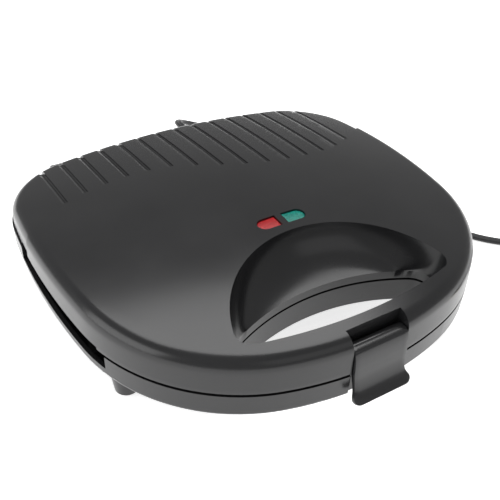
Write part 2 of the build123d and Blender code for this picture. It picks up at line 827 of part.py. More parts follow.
lower_grill_plate = grill_plate(base_plate_z, -1)
lower_grill_plate.label = "lower_grill_plate"
export_step(lower_grill_plate, "parts/lower_grill_plate.step")

lower_plate_back = base_plate_z - tray_depth - tray_wall
lower_element = heating_element(lower_plate_back - air_gap - element_radius)
lower_element.label = "lower_element"
export_step(lower_element, "parts/lower_element.step")

with BuildPart() as lower_reflector:
    add(reflector(lower_plate_back, -1))
    with BuildSketch(Plane.XY.offset(lower_plate_back)):
        with Locations((0, thermostat_y)):
            Circle(thermostat_radius + air_gap)
    extrude(amount=-2 * reflector_depth, mode=Mode.SUBTRACT)
lower_reflector.part.label = "lower_reflector"
export_step(lower_reflector.part, "parts/lower_reflector.step")

lower_plate_screws = screw_set(plate_screw_spots, base_plate_z, -1)
lower_plate_screws.label = "lower_plate_screws"
export_step(lower_plate_screws, "parts/lower_plate_screws.step")

lower_cover_screws = screw_set(cover_screw_spots, base_plate_z, -1)
lower_cover_screws.label = "lower_cover_screws"
export_step(lower_cover_screws, "parts/lower_cover_screws.step")

with BuildPart() as thermostat:
    with BuildSketch(Plane.XY.offset(lower_plate_back - air_gap)):
        with Locations((0, thermostat_y)):
            Circle(thermostat_radius)
    extrude(amount=-thermostat_height)
    with BuildSketch(Plane.XY.offset(lower_plate_back - air_gap - thermostat_height)):
        with Locations((terminal_pitch, thermostat_y), (-terminal_pitch, thermostat_y)):
            Rectangle(sheet, terminal_tab)
    extrude(amount=-terminal_tab)
thermostat.part.label = "thermostat"
export_step(thermostat.part, "parts/thermostat.step")

fuse_z = lower_plate_back - air_gap - reflector_depth - foot_fit - fuse_radius
with BuildPart() as thermal_fuse:
    with BuildSketch(Plane.YZ.offset(fuse_x)):
        with Locations((thermostat_y, fuse_z)):
            Circle(fuse_radius)
    extrude(amount=fuse_length)
    with BuildSketch(Plane.YZ.offset(fuse_x - fuse_length / 2)):
        with Locations((thermostat_y, fuse_z)):
            Circle(sheet / 2)
    extrude(amount=2 * fuse_length)
thermal_fuse.part.label = "thermal_fuse"
export_step(thermal_fuse.part, "parts/thermal_fuse.step")

with BuildPart() as terminal_block:
    with BuildSketch(Plane.XY.offset(pan_floor + wall + foot_fit)):
        with Locations((cord_exit_x, terminal_y)):
            Rectangle(terminal_size[0], terminal_size[1])
    extrude(amount=terminal_size[2])
    with BuildSketch(Plane.XZ.offset(-terminal_y - terminal_size[1])):
        with Locations((cord_exit_x, pan_floor + wall + terminal_size[2] / 2)):
            with GridLocations(terminal_pitch * 1.8, 1, 3, 1):
                Circle(screw_radius)
    extrude(amount=2 * terminal_size[1], mode=Mode.SUBTRACT)
terminal_block.part.label = "terminal_block"
export_step(terminal_block.part, "parts/terminal_block.step")

with BuildPart() as rubber_feet:
    with BuildSketch(Plane.XY):
        with Locations(*leg_spots):
            Circle(foot_radius)
    extrude(amount=foot_height)
    with BuildSketch(Plane.XY):
        with Locations(*leg_spots):
            Circle(foot_stem_radius)
    extrude(amount=foot_height + foot_stem_length - foot_fit)
rubber_feet.part.label = "rubber_feet"
export_step(rubber_feet.part, "parts/rubber_feet.step")

# ---------------------------------------------------------------- hinge pins
pin_length = 3 * lug_width + 2 * lug_gap
with BuildPart() as hinge_pins:
    for start in (lug_inner_x, -lug_inner_x - pin_length):
        with BuildSketch(Plane.YZ.offset(start)):
            with Locations((hinge_y, seam_height)):
                Circle(hinge_pin_radius)
        extrude(amount=pin_length)
hinge_pins.part.label = "hinge_pins"
export_step(hinge_pins.part, "parts/hinge_pins.step")

# ---------------------------------------------------------------- mains lead
relief_out_y = relief_wall_y + wall / 4
relief_in_y = relief_wall_y - wall - relief_fit
with BuildPart() as cord_strain_relief:
    with BuildSketch(Plane.YZ.offset(cord_exit_x)):
        with BuildLine():
            Polyline(
                (relief_in_y - relief_flange, cord_exit_z),
                (relief_in_y - relief_flange, cord_exit_z + relief_flange_radius),
                (relief_in_y, cord_exit_z + relief_flange_radius),
                (relief_in_y, cord_exit_z + relief_neck_radius),
                (relief_out_y, cord_exit_z + relief_neck_radius),
                (relief_out_y, cord_exit_z + relief_root_radius),
                (CORD_ROUTE[0][1], cord_exit_z + relief_tip_radius),
                (CORD_ROUTE[0][1], cord_exit_z),
                (relief_in_y - relief_flange, cord_exit_z),
            )
        make_face()
    revolve(axis=Axis((cord_exit_x, 0, cord_exit_z), (0, 1, 0)))
cord_strain_relief.part.label = "cord_strain_relief"
export_step(cord_strain_relief.part, "parts/cord_strain_relief.step")

cord_radii = []
for before, here, after in zip(CORD_ROUTE, CORD_ROUTE[1:], CORD_ROUTE[2:]):
    run_in = Vector(*here) - Vector(*before)
    run_out = Vector(*after) - Vector(*here)
    half_turn = radians(run_in.get_angle(run_out)) / 2
    cord_radii.append(0.45 * min(run_in.length, run_out.length) / tan(half_turn))
print("cord bend radii, mm:", [round(radius) for radius in cord_radii])
with BuildPart() as power_cord:
    with BuildLine() as cord_path:
        FilletPolyline(*CORD_ROUTE, radius=cord_radii)
    cord_line = cord_path.wires()[0]
    with BuildSketch(Plane(cord_line @ 0, z_dir=cord_line % 0)):
        Circle(cord_diameter / 2)
    sweep()
power_cord.part.label = "power_cord"
export_step(power_cord.part, "parts/power_cord.step")
cord_area = pi * cord_diameter**2 / 4
print("cord tube length, mm:", round(cord_line.length, 1))
tube_volume_share = power_cord.part.volume / (cord_area * cord_line.length)
print("cord tube volume over section times length:", round(tube_volume_share, 4))

coil_x = CORD_ROUTE[-1][0]
coil_y = CORD_ROUTE[-1][1] - coil_radius
with BuildPart() as cord_coil:
    with BuildSketch(Plane.XZ.offset(-coil_y)):
        with Locations((coil_x + coil_radius, coil_lift + coil_height / 2)):
            RectangleRounded(coil_width, coil_height, coil_corner)
    revolve(axis=Axis((coil_x, coil_y, 0), (0, 0, 1)))
cord_coil.part.label = "cord_coil"
export_step(cord_coil.part, "parts/cord_coil.step")

with BuildPart() as cord_tie:
    with BuildSketch(Plane.XZ.offset(-coil_y + tie_width / 2)):
        with Locations((coil_x - coil_radius, coil_lift + coil_height / 2)):
            RectangleRounded(
                coil_width + 2 * (tie_sheet + tie_gap),
                coil_height + 2 * (tie_sheet + tie_gap),
                coil_corner + tie_sheet,
            )
            RectangleRounded(
                coil_width + 2 * tie_gap, coil_height + 2 * tie_gap, coil_corner, mode=Mode.SUBTRACT
            )
    extrude(amount=-tie_width)
cord_tie.part.label = "cord_tie"
export_step(cord_tie.part, "parts/cord_tie.step")
print("coil length, mm:", round(coil_turns * 2 * pi * coil_radius, 1))

plug_y = coil_y - coil_radius
plug_z = plug_height / 2 + coil_lift
plug_start_x = coil_x - plug_lead - plug_neck_length
with BuildPart() as plug:
    with BuildSketch(Plane.YZ.offset(coil_x - plug_lead)):
        with Locations((plug_y, plug_z)):
            Circle(plug_neck_radius)
    with BuildSketch(Plane.YZ.offset(plug_start_x)):
        with Locations((plug_y, plug_z)):
            Circle(plug_neck_radius + 1.6)
    loft()
    with BuildSketch(Plane.YZ.offset(plug_start_x)):
        with Locations((plug_y, plug_z)):
            RectangleRounded(plug_width * 0.56, plug_height * 0.86, 4)
    with BuildSketch(Plane.YZ.offset(plug_start_x - plug_length)):
        with Locations((plug_y, plug_z)):
            RectangleRounded(plug_width, plug_height, 5)
    loft()
    with BuildSketch(Plane.YZ.offset(plug_start_x - plug_length)):
        with Locations((plug_y + plug_pin_pitch / 2, plug_z), (plug_y - plug_pin_pitch / 2, plug_z)):
            Circle(plug_pin_radius)
    extrude(amount=plug_pin_root, mode=Mode.SUBTRACT)
plug.part.label = "plug"
export_step(plug.part, "parts/plug.step")

with BuildPart() as plug_pins:
    with BuildSketch(Plane.YZ.offset(plug_start_x - plug_length + plug_pin_root)):
        with Locations((plug_y + plug_pin_pitch / 2, plug_z), (plug_y - plug_pin_pitch / 2, plug_z)):
            Circle(plug_pin_radius)
    extrude(amount=-plug_pin_length - plug_pin_root)
    fillet(plug_pins.edges().group_by(Axis.X)[0], plug_pin_radius / 2)
plug_pins.part.label = "plug_pins"
export_step(plug_pins.part, "parts/plug_pins.step")
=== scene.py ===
"""Panini press: the looks of a closed two-slice press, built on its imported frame."""
import json
import math

import bmesh
import bpy
from bpy.props import FloatProperty, FloatVectorProperty, IntProperty, PointerProperty
from mathutils import Matrix, Vector


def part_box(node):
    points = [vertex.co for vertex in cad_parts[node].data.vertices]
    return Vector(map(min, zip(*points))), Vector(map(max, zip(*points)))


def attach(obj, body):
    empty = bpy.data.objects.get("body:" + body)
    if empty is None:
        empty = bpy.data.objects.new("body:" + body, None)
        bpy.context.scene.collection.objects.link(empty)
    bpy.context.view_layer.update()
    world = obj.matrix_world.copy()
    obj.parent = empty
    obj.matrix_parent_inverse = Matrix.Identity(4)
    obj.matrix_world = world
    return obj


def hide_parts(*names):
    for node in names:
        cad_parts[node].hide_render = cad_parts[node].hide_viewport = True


bl_info = {
    "name": "Panini Press",
    "version": (1, 0, 0),
    "blender": (4, 5, 0),
    "location": "View3D > Sidebar > Press",
    "description": "Builds the shells, latch, lamps, plates and lead of a panini press",
    "category": "Object",
}

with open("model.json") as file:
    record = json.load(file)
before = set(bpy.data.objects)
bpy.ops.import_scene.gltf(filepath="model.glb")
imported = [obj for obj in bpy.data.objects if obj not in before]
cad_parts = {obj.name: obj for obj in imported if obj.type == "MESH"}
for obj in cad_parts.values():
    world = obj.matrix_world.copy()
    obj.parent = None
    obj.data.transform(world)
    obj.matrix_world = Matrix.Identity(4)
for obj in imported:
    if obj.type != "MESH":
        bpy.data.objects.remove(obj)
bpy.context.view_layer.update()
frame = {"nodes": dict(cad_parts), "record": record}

# The shells' plan: four wide arcs with rounded corners. All sizes are in metres.
BODY_FRONT = 0.113
BODY_REAR = 0.115
HALF_WIDTH = 0.120
WIDEST_Y = 0.035
FRONT_RADIUS = 0.170
SIDE_RADIUS = 0.424
REAR_RADIUS = 1.0
FRONT_CORNER = 0.095
REAR_CORNER = 0.046
LID_EDGE = 0.0407
CROWN_Y = -0.024
CROWN_FRONT = 0.526
CROWN_REAR = 0.794
CROWN_SIDE = 0.769
CROWN_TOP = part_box("upper_housing")[1][2]
SHOULDER = 0.008
INNER_SHOULDER = 0.0056
EDGE_ROUND = 0.0005
WALL = 0.0024
DRAFT = math.radians(3)
SCOOP_CENTRE_Y = -0.099
SCOOP_RADIUS = 0.064
HOLE_REAR_Y = -0.059
HOLE_REAR_RADIUS = 0.1145
HOLE_FRONT_Y = -0.0984
HOLE_FRONT_RADIUS = 0.215
HOLE_END_RADIUS = 0.011
SCOOP_END_RADIUS = 0.008
SCOOP_FLOOR = 0.0455
SCOOP_ROUNDNESS = 0.7
LATCH_HALF = 0.0155
LATCH_GAP = 0.0006
RECESS_Y = -0.1036
OVER = 0.01  # how far a cutting form reaches over the crown

# How finely the lid's rings follow its wall, shoulder and crown.
WALL_STEPS = 6
SHOULDER_STEPS = 14
CROWN_STEPS = 6
CROWN_INSET = 0.036
FILL_STEPS = 18
FILL_Y = 0.005

# The lid's lifted side edges, and its hinge lugs with the slots for the lower shell's lugs.
SIDE_GAP_NEAR = 0.108
SIDE_GAP_FAR = 0.13
SIDE_GAP_FRONT = -0.042
SIDE_GAP_REAR = 0.052
SIDE_GAP_TOP = 0.0425
LUG_NEAR = 0.0564
LUG_FAR = 0.0684
LUG_SLOTS = ((0.0437, 0.0564), (0.0684, 0.0811))
BARREL = 0.0055
BARREL_CLEAR = 0.0062
BARREL_BORE = 0.00206
LATCH_BORE_REACH = 0.021

LENS_Y = -0.0247
LENS_WIDTH = 0.009
LENS_LENGTH = 0.0126
LENS_BAR = 0.0038
LENS_FIT = 0.0002
# How far each ring of a lens is drawn in, and its depth under the crown; the first is its foot.
LENS_RINGS = ((0, None), (0, 0.0014), (0.00012, 0.0011), (0.0004, 0.0009), (0.0009, 0.0008))
WAVE_LINE = [
    (-0.125, 0.034),
    (-0.109, 0.046),
    (-0.090, 0.054),
    (-0.068, 0.058),
    (-0.048, 0.0582),
    (-0.027, 0.0543),
    (-0.009, 0.0445),
    (0.008, 0.0355),
    (0.027, 0.0296),
    (0.048, 0.0272),
    (0.069, 0.029),
    (0.088, 0.036),
    (0.109, 0.0505),
    (0.125, 0.064),
]
# A groove's sawtooth section, in shares of its width and depth: a long ramp and a steep wall.
GROOVE_PROFILE = [(-0.55, 0.9), (-0.5, 0.0), (0.36, -1.0), (0.5, -0.94), (0.55, 0.9)]
GROOVE_RISE = 0.0012

CORD_ROUTE = [
    (0.0260, 0.1410, 0.0330),
    (0.0263, 0.1495, 0.0323),
    (0.0288, 0.1582, 0.0298),
    (0.0348, 0.1660, 0.0252),
    (0.0445, 0.1710, 0.0190),
    (0.0575, 0.1725, 0.0125),
    (0.0720, 0.1705, 0.0065),
    (0.0880, 0.1655, 0.0028),
    (0.1050, 0.1570, 0.0018),
    (0.1210, 0.1450, 0.0018),
    (0.1335, 0.1290, 0.0018),
    (0.1420, 0.1090, 0.0018),
    (0.1465, 0.0840, 0.0018),
    (0.1470, 0.0550, 0.0018),
    (0.1455, 0.0260, 0.0018),
    (0.1470, 0.0000, 0.0018),
    (0.1540, -0.0250, 0.0018),
    (0.1740, -0.0465, 0.0018),
    (0.1960, -0.0545, 0.0018),
    (0.2160, -0.0570, 0.0018),
]
HINGE = (0.115, 0.040)
LATCH_PIN = (-0.1074, 0.051)
LATCH_HUB = 0.0035
LATCH_BORE = 0.00156
LATCH_THICK = 0.0025
LATCH_COLUMNS = 12
LATCH_CORNER = 0.0040
# The latch plate's outer line as (y, z), and its half width as (x, z).
LATCH_LINE = [
    (-0.1078, 0.05445),
    (-0.1100, 0.0544),
    (-0.1118, 0.0534),
    (-0.1129, 0.0506),
    (-0.1136, 0.0460),
    (-0.1140, 0.0415),
    (-0.1145, 0.0365),
    (-0.1158, 0.0320),
    (-0.1180, 0.0284),
    (-0.1203, 0.0258),
]
LATCH_HALVES = [
    (0.0155, 0.0560),
    (0.0155, 0.0480),
    (0.0155, 0.0410),
    (0.0151, 0.0370),
    (0.0148, 0.0335),
    (0.0154, 0.0308),
    (0.0166, 0.0290),
    (0.0174, 0.0275),
    (0.0175, 0.0250),
]
FOOT_POLE = 0.0006
FOOT_TREAD = 0.0004
# Rings of a foot's ribbed sole, as (share of its radius, height).
FOOT_RINGS = (
    (0.22, FOOT_TREAD),
    (0.28, 0.0),
    (0.44, 0.0),
    (0.50, FOOT_TREAD),
    (0.60, FOOT_TREAD),
    (0.66, 0.0),
    (0.9, 0.0),
    (0.98, 0.0003),
    (1.0, 0.0007),
)
SCREW_HEAD = 0.001
SCREW_SHANK = 0.0017
SCREW_PITCH = 0.0006
SCREW_ROOT = 0.84
SCREW_ARM = 0.00035
SCREW_RECESS = 0.0008
SCREW_NODES = (
    "upper_plate_screws",
    "lower_plate_screws",
    "upper_cover_screws",
    "lower_cover_screws",
    "lamp_screws",
)
CORD_WIDTH = 0.0054
CORD_THICKNESS = 0.0032
COIL_TURNS = 2.5
COIL_STEPS = 16
COIL_RADIUS = 0.030
COIL_SPREAD = 0.0028
COIL_LIFT = 0.0018


FLOOR_REACH = 9
CAMERA_PLACE = (-0.176786, -0.270119, 0.284825)
CAMERA_RIGHT = (0.85793, -0.51223, 0.03958)
CAMERA_UP = (0.28998, 0.54640, 0.78572)
CAMERA_LENS = 50.65
CAMERA_SHIFT = (0.003, -0.0075)
# Each light's name, place, aim, size and watts.
LIGHTS = (
    ("overhead", (0.15, 0.35, 1.3), (0, 0, 0.05), (1.3, 0.9), 13.0),
    ("left_wall", (-1.3, 0.1, 0.5), (0, 0, 0.05), (1.2, 0.8), 7.0),
    ("front", (0.2, -1.4, 0.9), (0, 0, 0.0), (1.2, 0.8), 1.2),
)


# ------------------------------------------------------------------ mesh helpers
def new_mesh_piece(name, points, faces, smooth=True):
    """A mesh object from points and faces, with shared points merged and faces outwards."""
    mesh = bpy.data.meshes.new(name)
    mesh.from_pydata([tuple(p) for p in points], [], faces)
    mesh.update()
    work = bmesh.new()
    work.from_mesh(mesh)
    bmesh.ops.remove_doubles(work, verts=work.verts, dist=1e-6)
    bmesh.ops.recalc_face_normals(work, faces=work.faces)
    if work.faces and work.calc_volume(signed=True) < 0:
        bmesh.ops.reverse_faces(work, faces=work.faces)
    work.to_mesh(mesh)
    work.free()
    for polygon in mesh.polygons:
        polygon.use_smooth = smooth
    piece = bpy.data.objects.new(name, mesh)
    bpy.context.scene.collection.objects.link(piece)
    return piece


def bake_modifiers(piece):
    """Turn the piece's live modifiers into its plain mesh."""
    bpy.context.view_layer.update()
    depsgraph = bpy.context.evaluated_depsgraph_get()
    mesh = bpy.data.meshes.new_from_object(piece.evaluated_get(depsgraph))
    piece.modifiers.clear()
    piece.data = mesh


def cut(piece, tool, operation="DIFFERENCE"):
    """Apply one boolean to the piece and remove the tool."""
    modifier = piece.modifiers.new("cut", "BOOLEAN")
    modifier.operation = operation
    modifier.solver = "MANIFOLD"
    modifier.object = tool
    bake_modifiers(piece)
    bpy.data.objects.remove(tool)


def sharpen(piece, degrees):
    """Smooth faces with an edge kept sharp where it turns by more than the given angle."""
    work = bmesh.new()
    work.from_mesh(piece.data)
    bmesh.ops.remove_doubles(work, verts=work.verts, dist=2e-6)
    limit = math.radians(degrees)
    for face in work.faces:
        face.smooth = True
    for edge in work.edges:
        edge.smooth = len(edge.link_faces) == 2 and edge.calc_face_angle(0) < limit
    work.to_mesh(piece.data)
    work.free()


def prism(name, plan, low, high):
    """A closed prism over a plan outline, between two heights."""
    count = len(plan)
    points = [(x, y, low) for x, y in plan] + [(x, y, high) for x, y in plan]
    faces = [(i, (i + 1) % count, count + (i + 1) % count, count + i) for i in range(count)]
    faces += [tuple(range(count))[::-1], tuple(range(count, 2 * count))]
    return new_mesh_piece(name, points, faces, smooth=False)


def ring_solid(name, rings, close_low=True, close_high=True):
    """A closed skin over a list of rings of equal length, capped by fans at both ends."""
    count = len(rings[0])
    points = [p for ring in rings for p in ring]
    faces = []
    for level in range(len(rings) - 1):
        for i in range(count):
            j = (i + 1) % count
            below, above = level * count, (level + 1) * count
            faces.append((below + i, below + j, above + j, above + i))
    if close_low:
        faces.append(tuple(range(count))[::-1])
    if close_high:
        top = len(points)
        points.append(sum((Vector(p) for p in rings[-1]), Vector()) / count)
        last = (len(rings) - 1) * count
        faces += [(last + i, last + (i + 1) % count, top) for i in range(count)]
    return new_mesh_piece(name, points, faces)


# ------------------------------------------------------------------ the shells' form
def circle_meet(a, ra, b, rb, towards):
    """Where two circles meet, as (x, y): the one of the two points that lies further towards a direction."""
    dx, dy = b[0] - a[0], b[1] - a[1]
    gap = math.hypot(dx, dy)
    along = (ra**2 - rb**2 + gap**2) / (2 * gap)
    off = math.sqrt(max(ra**2 - along**2, 0))
    mx, my = a[0] + along * dx / gap, a[1] + along * dy / gap
    ends = [(mx + off * dy / gap, my - off * dx / gap), (mx - off * dy / gap, my + off * dx / gap)]
    return max(ends, key=lambda p: p[0] * towards[0] + p[1] * towards[1])


def outline_arcs():
    """The right half of the plan from front to rear as arcs: centre, radius, start and end angles."""
    front = (0.0, FRONT_RADIUS - BODY_FRONT)
    side = (HALF_WIDTH - SIDE_RADIUS, WIDEST_Y)
    rear = (0.0, BODY_REAR - REAR_RADIUS)
    front_corner = circle_meet(front, FRONT_RADIUS - FRONT_CORNER, side, SIDE_RADIUS - FRONT_CORNER, (0, -1))
    rear_corner = circle_meet(rear, REAR_RADIUS - REAR_CORNER, side, SIDE_RADIUS - REAR_CORNER, (0, 1))

    def heading(centre, point):
        return math.atan2(point[1] - centre[1], point[0] - centre[0])

    bends = [
        heading(front, front_corner),
        heading(side, front_corner),
        heading(side, rear_corner),
        heading(rear, rear_corner),
    ]
    return [
        (front, FRONT_RADIUS, -math.pi / 2, bends[0]),
        (front_corner, FRONT_CORNER, bends[0], bends[1]),
        (side, SIDE_RADIUS, bends[1], bends[2]),
        (rear_corner, REAR_CORNER, bends[2], bends[3]),
        (rear, REAR_RADIUS, bends[3], math.pi / 2),
    ]


def outline_rays(step=0.0022):
    """Points round the plan as centre, radius and direction, so that an inset is a shorter radius."""
    rays = []
    for centre, radius, start, end in outline_arcs():
        count = max(4, round(radius * abs(end - start) / step))
        for i in range(count):
            angle = start + (end - start) * i / count
            rays.append((centre, radius, (math.cos(angle), math.sin(angle))))
    mirrored = [((-c[0], c[1]), r, (-d[0], d[1])) for c, r, d in rays[1:]]
    rear = [((0.0, BODY_REAR - REAR_RADIUS), REAR_RADIUS, (0.0, 1.0))]
    return rays + rear + mirrored[::-1]


RAYS = outline_rays()


def plan_point(ray, inset):
    """The plan point of a ray, drawn in by inset."""
    (cx, cy), radius, (dx, dy) = ray
    return cx + (radius - inset) * dx, cy + (radius - inset) * dy


def crown(x, y, drop=0.0):
    """Height of the lid's crowned top over (x, y), lowered by drop."""
    long_radius = CROWN_REAR if y > CROWN_Y else CROWN_FRONT
    side = CROWN_SIDE - drop
    fall = side - math.sqrt(side**2 - x**2)
    reach = long_radius - drop - fall
    return CROWN_TOP - long_radius + math.sqrt(reach**2 - (y - CROWN_Y) ** 2)


def lid_rings(inset, drop, rounding, low, edge_round):
    """Rings of the lid's form: its edge, up the drafted wall, round the shoulder and over the crown."""
    slope = math.tan(DRAFT)
    columns = []
    for ray in RAYS:

        def top(q):
            return crown(*plan_point(ray, q), drop)

        zc = low + 0.012
        for _ in range(12):
            qc = inset + (zc - LID_EDGE) * slope + rounding / math.cos(DRAFT)
            fall = (top(qc + 0.001) - top(qc - 0.001)) / 0.002
            zc = top(qc) - rounding * math.sqrt(1 + fall**2)
        start = math.pi - DRAFT
        end = math.pi / 2 + math.atan(fall)
        wall_end = zc + rounding * math.sin(start)
        column = []
        if edge_round:
            for turn in (0.0, 0.35, 0.7):
                angle = turn * math.pi / 2
                column.append((edge_round * (1 - math.sin(angle)), low + edge_round * (1 - math.cos(angle))))
            low_wall = low + edge_round
        else:
            low_wall = low
        for i in range(WALL_STEPS):
            z = low_wall + (wall_end - low_wall) * i / WALL_STEPS
            column.append((inset + (z - LID_EDGE) * slope, z))
        for i in range(SHOULDER_STEPS + 1):
            angle = start + (end - start) * i / SHOULDER_STEPS
            column.append((qc + rounding * math.cos(angle), zc + rounding * math.sin(angle)))
        last = column[-1][0]
        for i in range(1, CROWN_STEPS + 1):
            q = last + (CROWN_INSET - last) * i / CROWN_STEPS
            column.append((q, top(q)))
        columns.append(column)
    rings = []
    for level in range(len(columns[0])):
        stations = [column[level] for column in columns]
        rings.append([(*plan_point(ray, q), z) for ray, (q, z) in zip(RAYS, stations)])
    base = rings[-1]
    for step in range(1, FILL_STEPS):
        near = 1 - step / FILL_STEPS
        ring = []
        for x, y, _ in base:
            px, py = x * near, FILL_Y + (y - FILL_Y) * near
            ring.append((px, py, crown(px, py, drop)))
        rings.append(ring)
    return rings


def lid_form(name, inset=0.0, drop=0.0, rounding=SHOULDER, low=LID_EDGE, edge_round=0.0):
    """The lid's outer or inner form as a closed solid."""
    return ring_solid(name, lid_rings(inset, drop, rounding, low, edge_round))


def arc_points(centre, radius, start, end, count):
    """Points along an arc, its ends included."""
    turns = [start + (end - start) * i / count for i in range(count + 1)]
    return [(centre[0] + radius * math.cos(a), centre[1] + radius * math.sin(a)) for a in turns]


def opening_plan(rear_centre_y, rear_radius, end_radius, grow=0.0):
    """A plan bounded by a rear arc and the handle's arc, with rounded ends, grown by grow."""
    rear = (0.0, rear_centre_y)
    front = (0.0, HOLE_FRONT_Y + HOLE_FRONT_RADIUS)
    end = circle_meet(rear, rear_radius - end_radius, front, HOLE_FRONT_RADIUS - end_radius, (1, 0))
    to_front = math.atan2(end[1] - front[1], end[0] - front[0])
    to_rear = math.atan2(end[1] - rear[1], end[0] - rear[0])
    right = arc_points(front, HOLE_FRONT_RADIUS + grow, -math.pi / 2, to_front, 26)
    right += arc_points(end, end_radius + grow, to_front, to_rear, 18)[1:]
    right += arc_points(rear, rear_radius + grow, to_rear, math.pi / 2, 34)[1:]
    left = [(-x, y) for x, y in right[1:-1]][::-1]
    return right + left


def hole_plan(grow=0.0):
    """Plan of the hand hole behind the handle."""
    return opening_plan(HOLE_REAR_Y - HOLE_REAR_RADIUS, HOLE_REAR_RADIUS, HOLE_END_RADIUS, grow)


def scoop_plan(grow=0.0):
    """Plan of the finger scoop's upper edge."""
    return opening_plan(SCOOP_CENTRE_Y, SCOOP_RADIUS, SCOOP_END_RADIUS, grow)


def scoop_tool(name, grow=0.0):
    """The scoop and the hole under it as one closed solid: a bowl down to the hole's upright wall."""
    upper = scoop_plan(grow)
    lower = hole_plan(grow)
    rings = [[(x, y, SCOOP_FLOOR - 0.006) for x, y in lower], [(x, y, SCOOP_FLOOR - grow) for x, y in lower]]
    steps = 16
    for i in range(1, steps + 1):
        share = i / steps
        bowl = math.sin(share * math.pi / 2)
        rise = 1 - math.cos(share * math.pi / 2)
        out = SCOOP_ROUNDNESS * bowl + (1 - SCOOP_ROUNDNESS) * share
        up = SCOOP_ROUNDNESS * rise + (1 - SCOOP_ROUNDNESS) * share
        ring = []
        for (ux, uy), (lx, ly) in zip(upper, lower):
            x, y = lx + (ux - lx) * out, ly + (uy - ly) * out
            edge = crown(ux, uy) - grow
            ring.append((x, y, SCOOP_FLOOR - grow + (edge - SCOOP_FLOOR + grow) * up))
        rings.append(ring)
    rings.append([(x, y, CROWN_TOP + OVER) for x, y in upper])
    return ring_solid(name, rings)


def box_tool(name, low, high):
    """A box between two corners."""
    plan = [(low[0], low[1]), (high[0], low[1]), (high[0], high[1]), (low[0], high[1])]
    return prism(name, plan, low[2], high[2])


def smooth_line(points, count):
    """Points along a smooth curve through the given plan points."""
    line = []
    for i in range(len(points) - 1):
        p0 = points[max(i - 1, 0)]
        p1, p2 = points[i], points[i + 1]
        p3 = points[min(i + 2, len(points) - 1)]
        for k in range(count):
            t = k / count
            weights = (
                -0.5 * t**3 + t**2 - 0.5 * t,
                1.5 * t**3 - 2.5 * t**2 + 1,
                -1.5 * t**3 + 2 * t**2 + 0.5 * t,
                0.5 * t**3 - 0.5 * t**2,
            )
            line.append(tuple(sum(w * p[axis] for w, p in zip(weights, (p0, p1, p2, p3))) for axis in (0, 1)))
    return line + [points[-1]]


WAVE = smooth_line(WAVE_LINE, 8)


def wave_y(x):
    """The wave line's y at x."""
    for a, b in zip(WAVE, WAVE[1:]):
        if a[0] <= x <= b[0]:
            return a[1] + (b[1] - a[1]) * (x - a[0]) / (b[0] - a[0])
    return WAVE[-1][1]


def lens_outline(side, grow=0.0):
    """Plan of one lamp window: square at the bridge between the two, round at its outer end."""
    radius = LENS_WIDTH / 2
    inner = LENS_BAR / 2 - grow
    middle = LENS_BAR / 2 + LENS_LENGTH - radius
    points = [(inner, LENS_Y - radius - grow)]
    points += arc_points((middle, LENS_Y), radius + grow, -math.pi / 2, math.pi / 2, 20)
    points.append((inner, LENS_Y + radius + grow))
    plan = [(side * x, y) for x, y in points]
    return plan if side > 0 else plan[::-1]


def groove_tool(x, slot, sizes):
    """One groove of the ribbed field, from the wave over the rear shoulder and down."""
    line = []
    y = wave_y(x) + sizes.groove_setback
    while True:
        z = crown(x, y)
        edge = rear_edge(x, z)
        if y > edge - 0.009:
            break
        line.append((y, z, 0.0, 1.0))
        y += 0.004
    middle_z = crown(x, y) - SHOULDER
    centre = (rear_edge(x, middle_z) - 0.0082, middle_z)
    for i in range(9):
        turn = math.pi / 2 * (1 - i / 8) + 0.10 * (1 - i / 8)
        ny, nz = math.cos(turn), math.sin(turn)
        line.append((centre[0] + SHOULDER * ny, centre[1] + SHOULDER * nz, ny, nz))
    low_z = LID_EDGE + 0.006
    line.append((rear_edge(x, low_z) - 0.0002, low_z, 1.0, 0.0))
    points, faces = [], []
    for y, z, ny, nz in line:
        for across, depth in GROOVE_PROFILE:
            shift = depth * (sizes.groove_depth if depth < 0 else GROOVE_RISE)
            points.append((x + across * sizes.groove_width, y + shift * ny, z + shift * nz))
    wide = len(GROOVE_PROFILE)
    for i in range(len(line) - 1):
        for k in range(wide):
            n = (k + 1) % wide
            faces.append((i * wide + k, i * wide + n, (i + 1) * wide + n, (i + 1) * wide + k))
    faces.append(tuple(range(wide)))
    faces.append(tuple(range((len(line) - 1) * wide, len(line) * wide))[::-1])
    return new_mesh_piece("groove_%d" % slot, points, faces, smooth=False)


def rear_edge(x, z):
    """The y of the lid's rear or corner wall at x, at height z."""
    inset = (z - LID_EDGE) * math.tan(DRAFT)
    plan = [plan_point(ray, inset) for ray in RAYS]
    best = -1.0
    for a, b in zip(plan, plan[1:] + plan[:1]):
        if min(a[0], b[0]) <= x <= max(a[0], b[0]) and a[0] != b[0]:
            best = max(best, a[1] + (b[1] - a[1]) * (x - a[0]) / (b[0] - a[0]))
    return best


# ------------------------------------------------------------------ materials
def node_material(name):
    """An empty node material with its shader, as (material, nodes, links, shader)."""
    material = bpy.data.materials.new(name)
    material.use_nodes = True
    tree = material.node_tree
    return material, tree.nodes, tree.links, tree.nodes["Principled BSDF"]


def noise_on_object(nodes, links, scale, detail=3.0):
    """A noise texture on Object coordinates."""
    place = nodes.new("ShaderNodeTexCoord")
    noise = nodes.new("ShaderNodeTexNoise")
    noise.inputs["Scale"].default_value = scale
    noise.inputs["Detail"].default_value = detail
    links.new(place.outputs["Object"], noise.inputs["Vector"])
    return noise


def add_bump(nodes, links, shader, height, strength, distance):
    """Raise the surface by a height output."""
    bump = nodes.new("ShaderNodeBump")
    bump.inputs["Strength"].default_value = strength
    bump.inputs["Distance"].default_value = distance
    links.new(height, bump.inputs["Height"])
    links.new(bump.outputs["Normal"], shader.inputs["Normal"])
    return bump


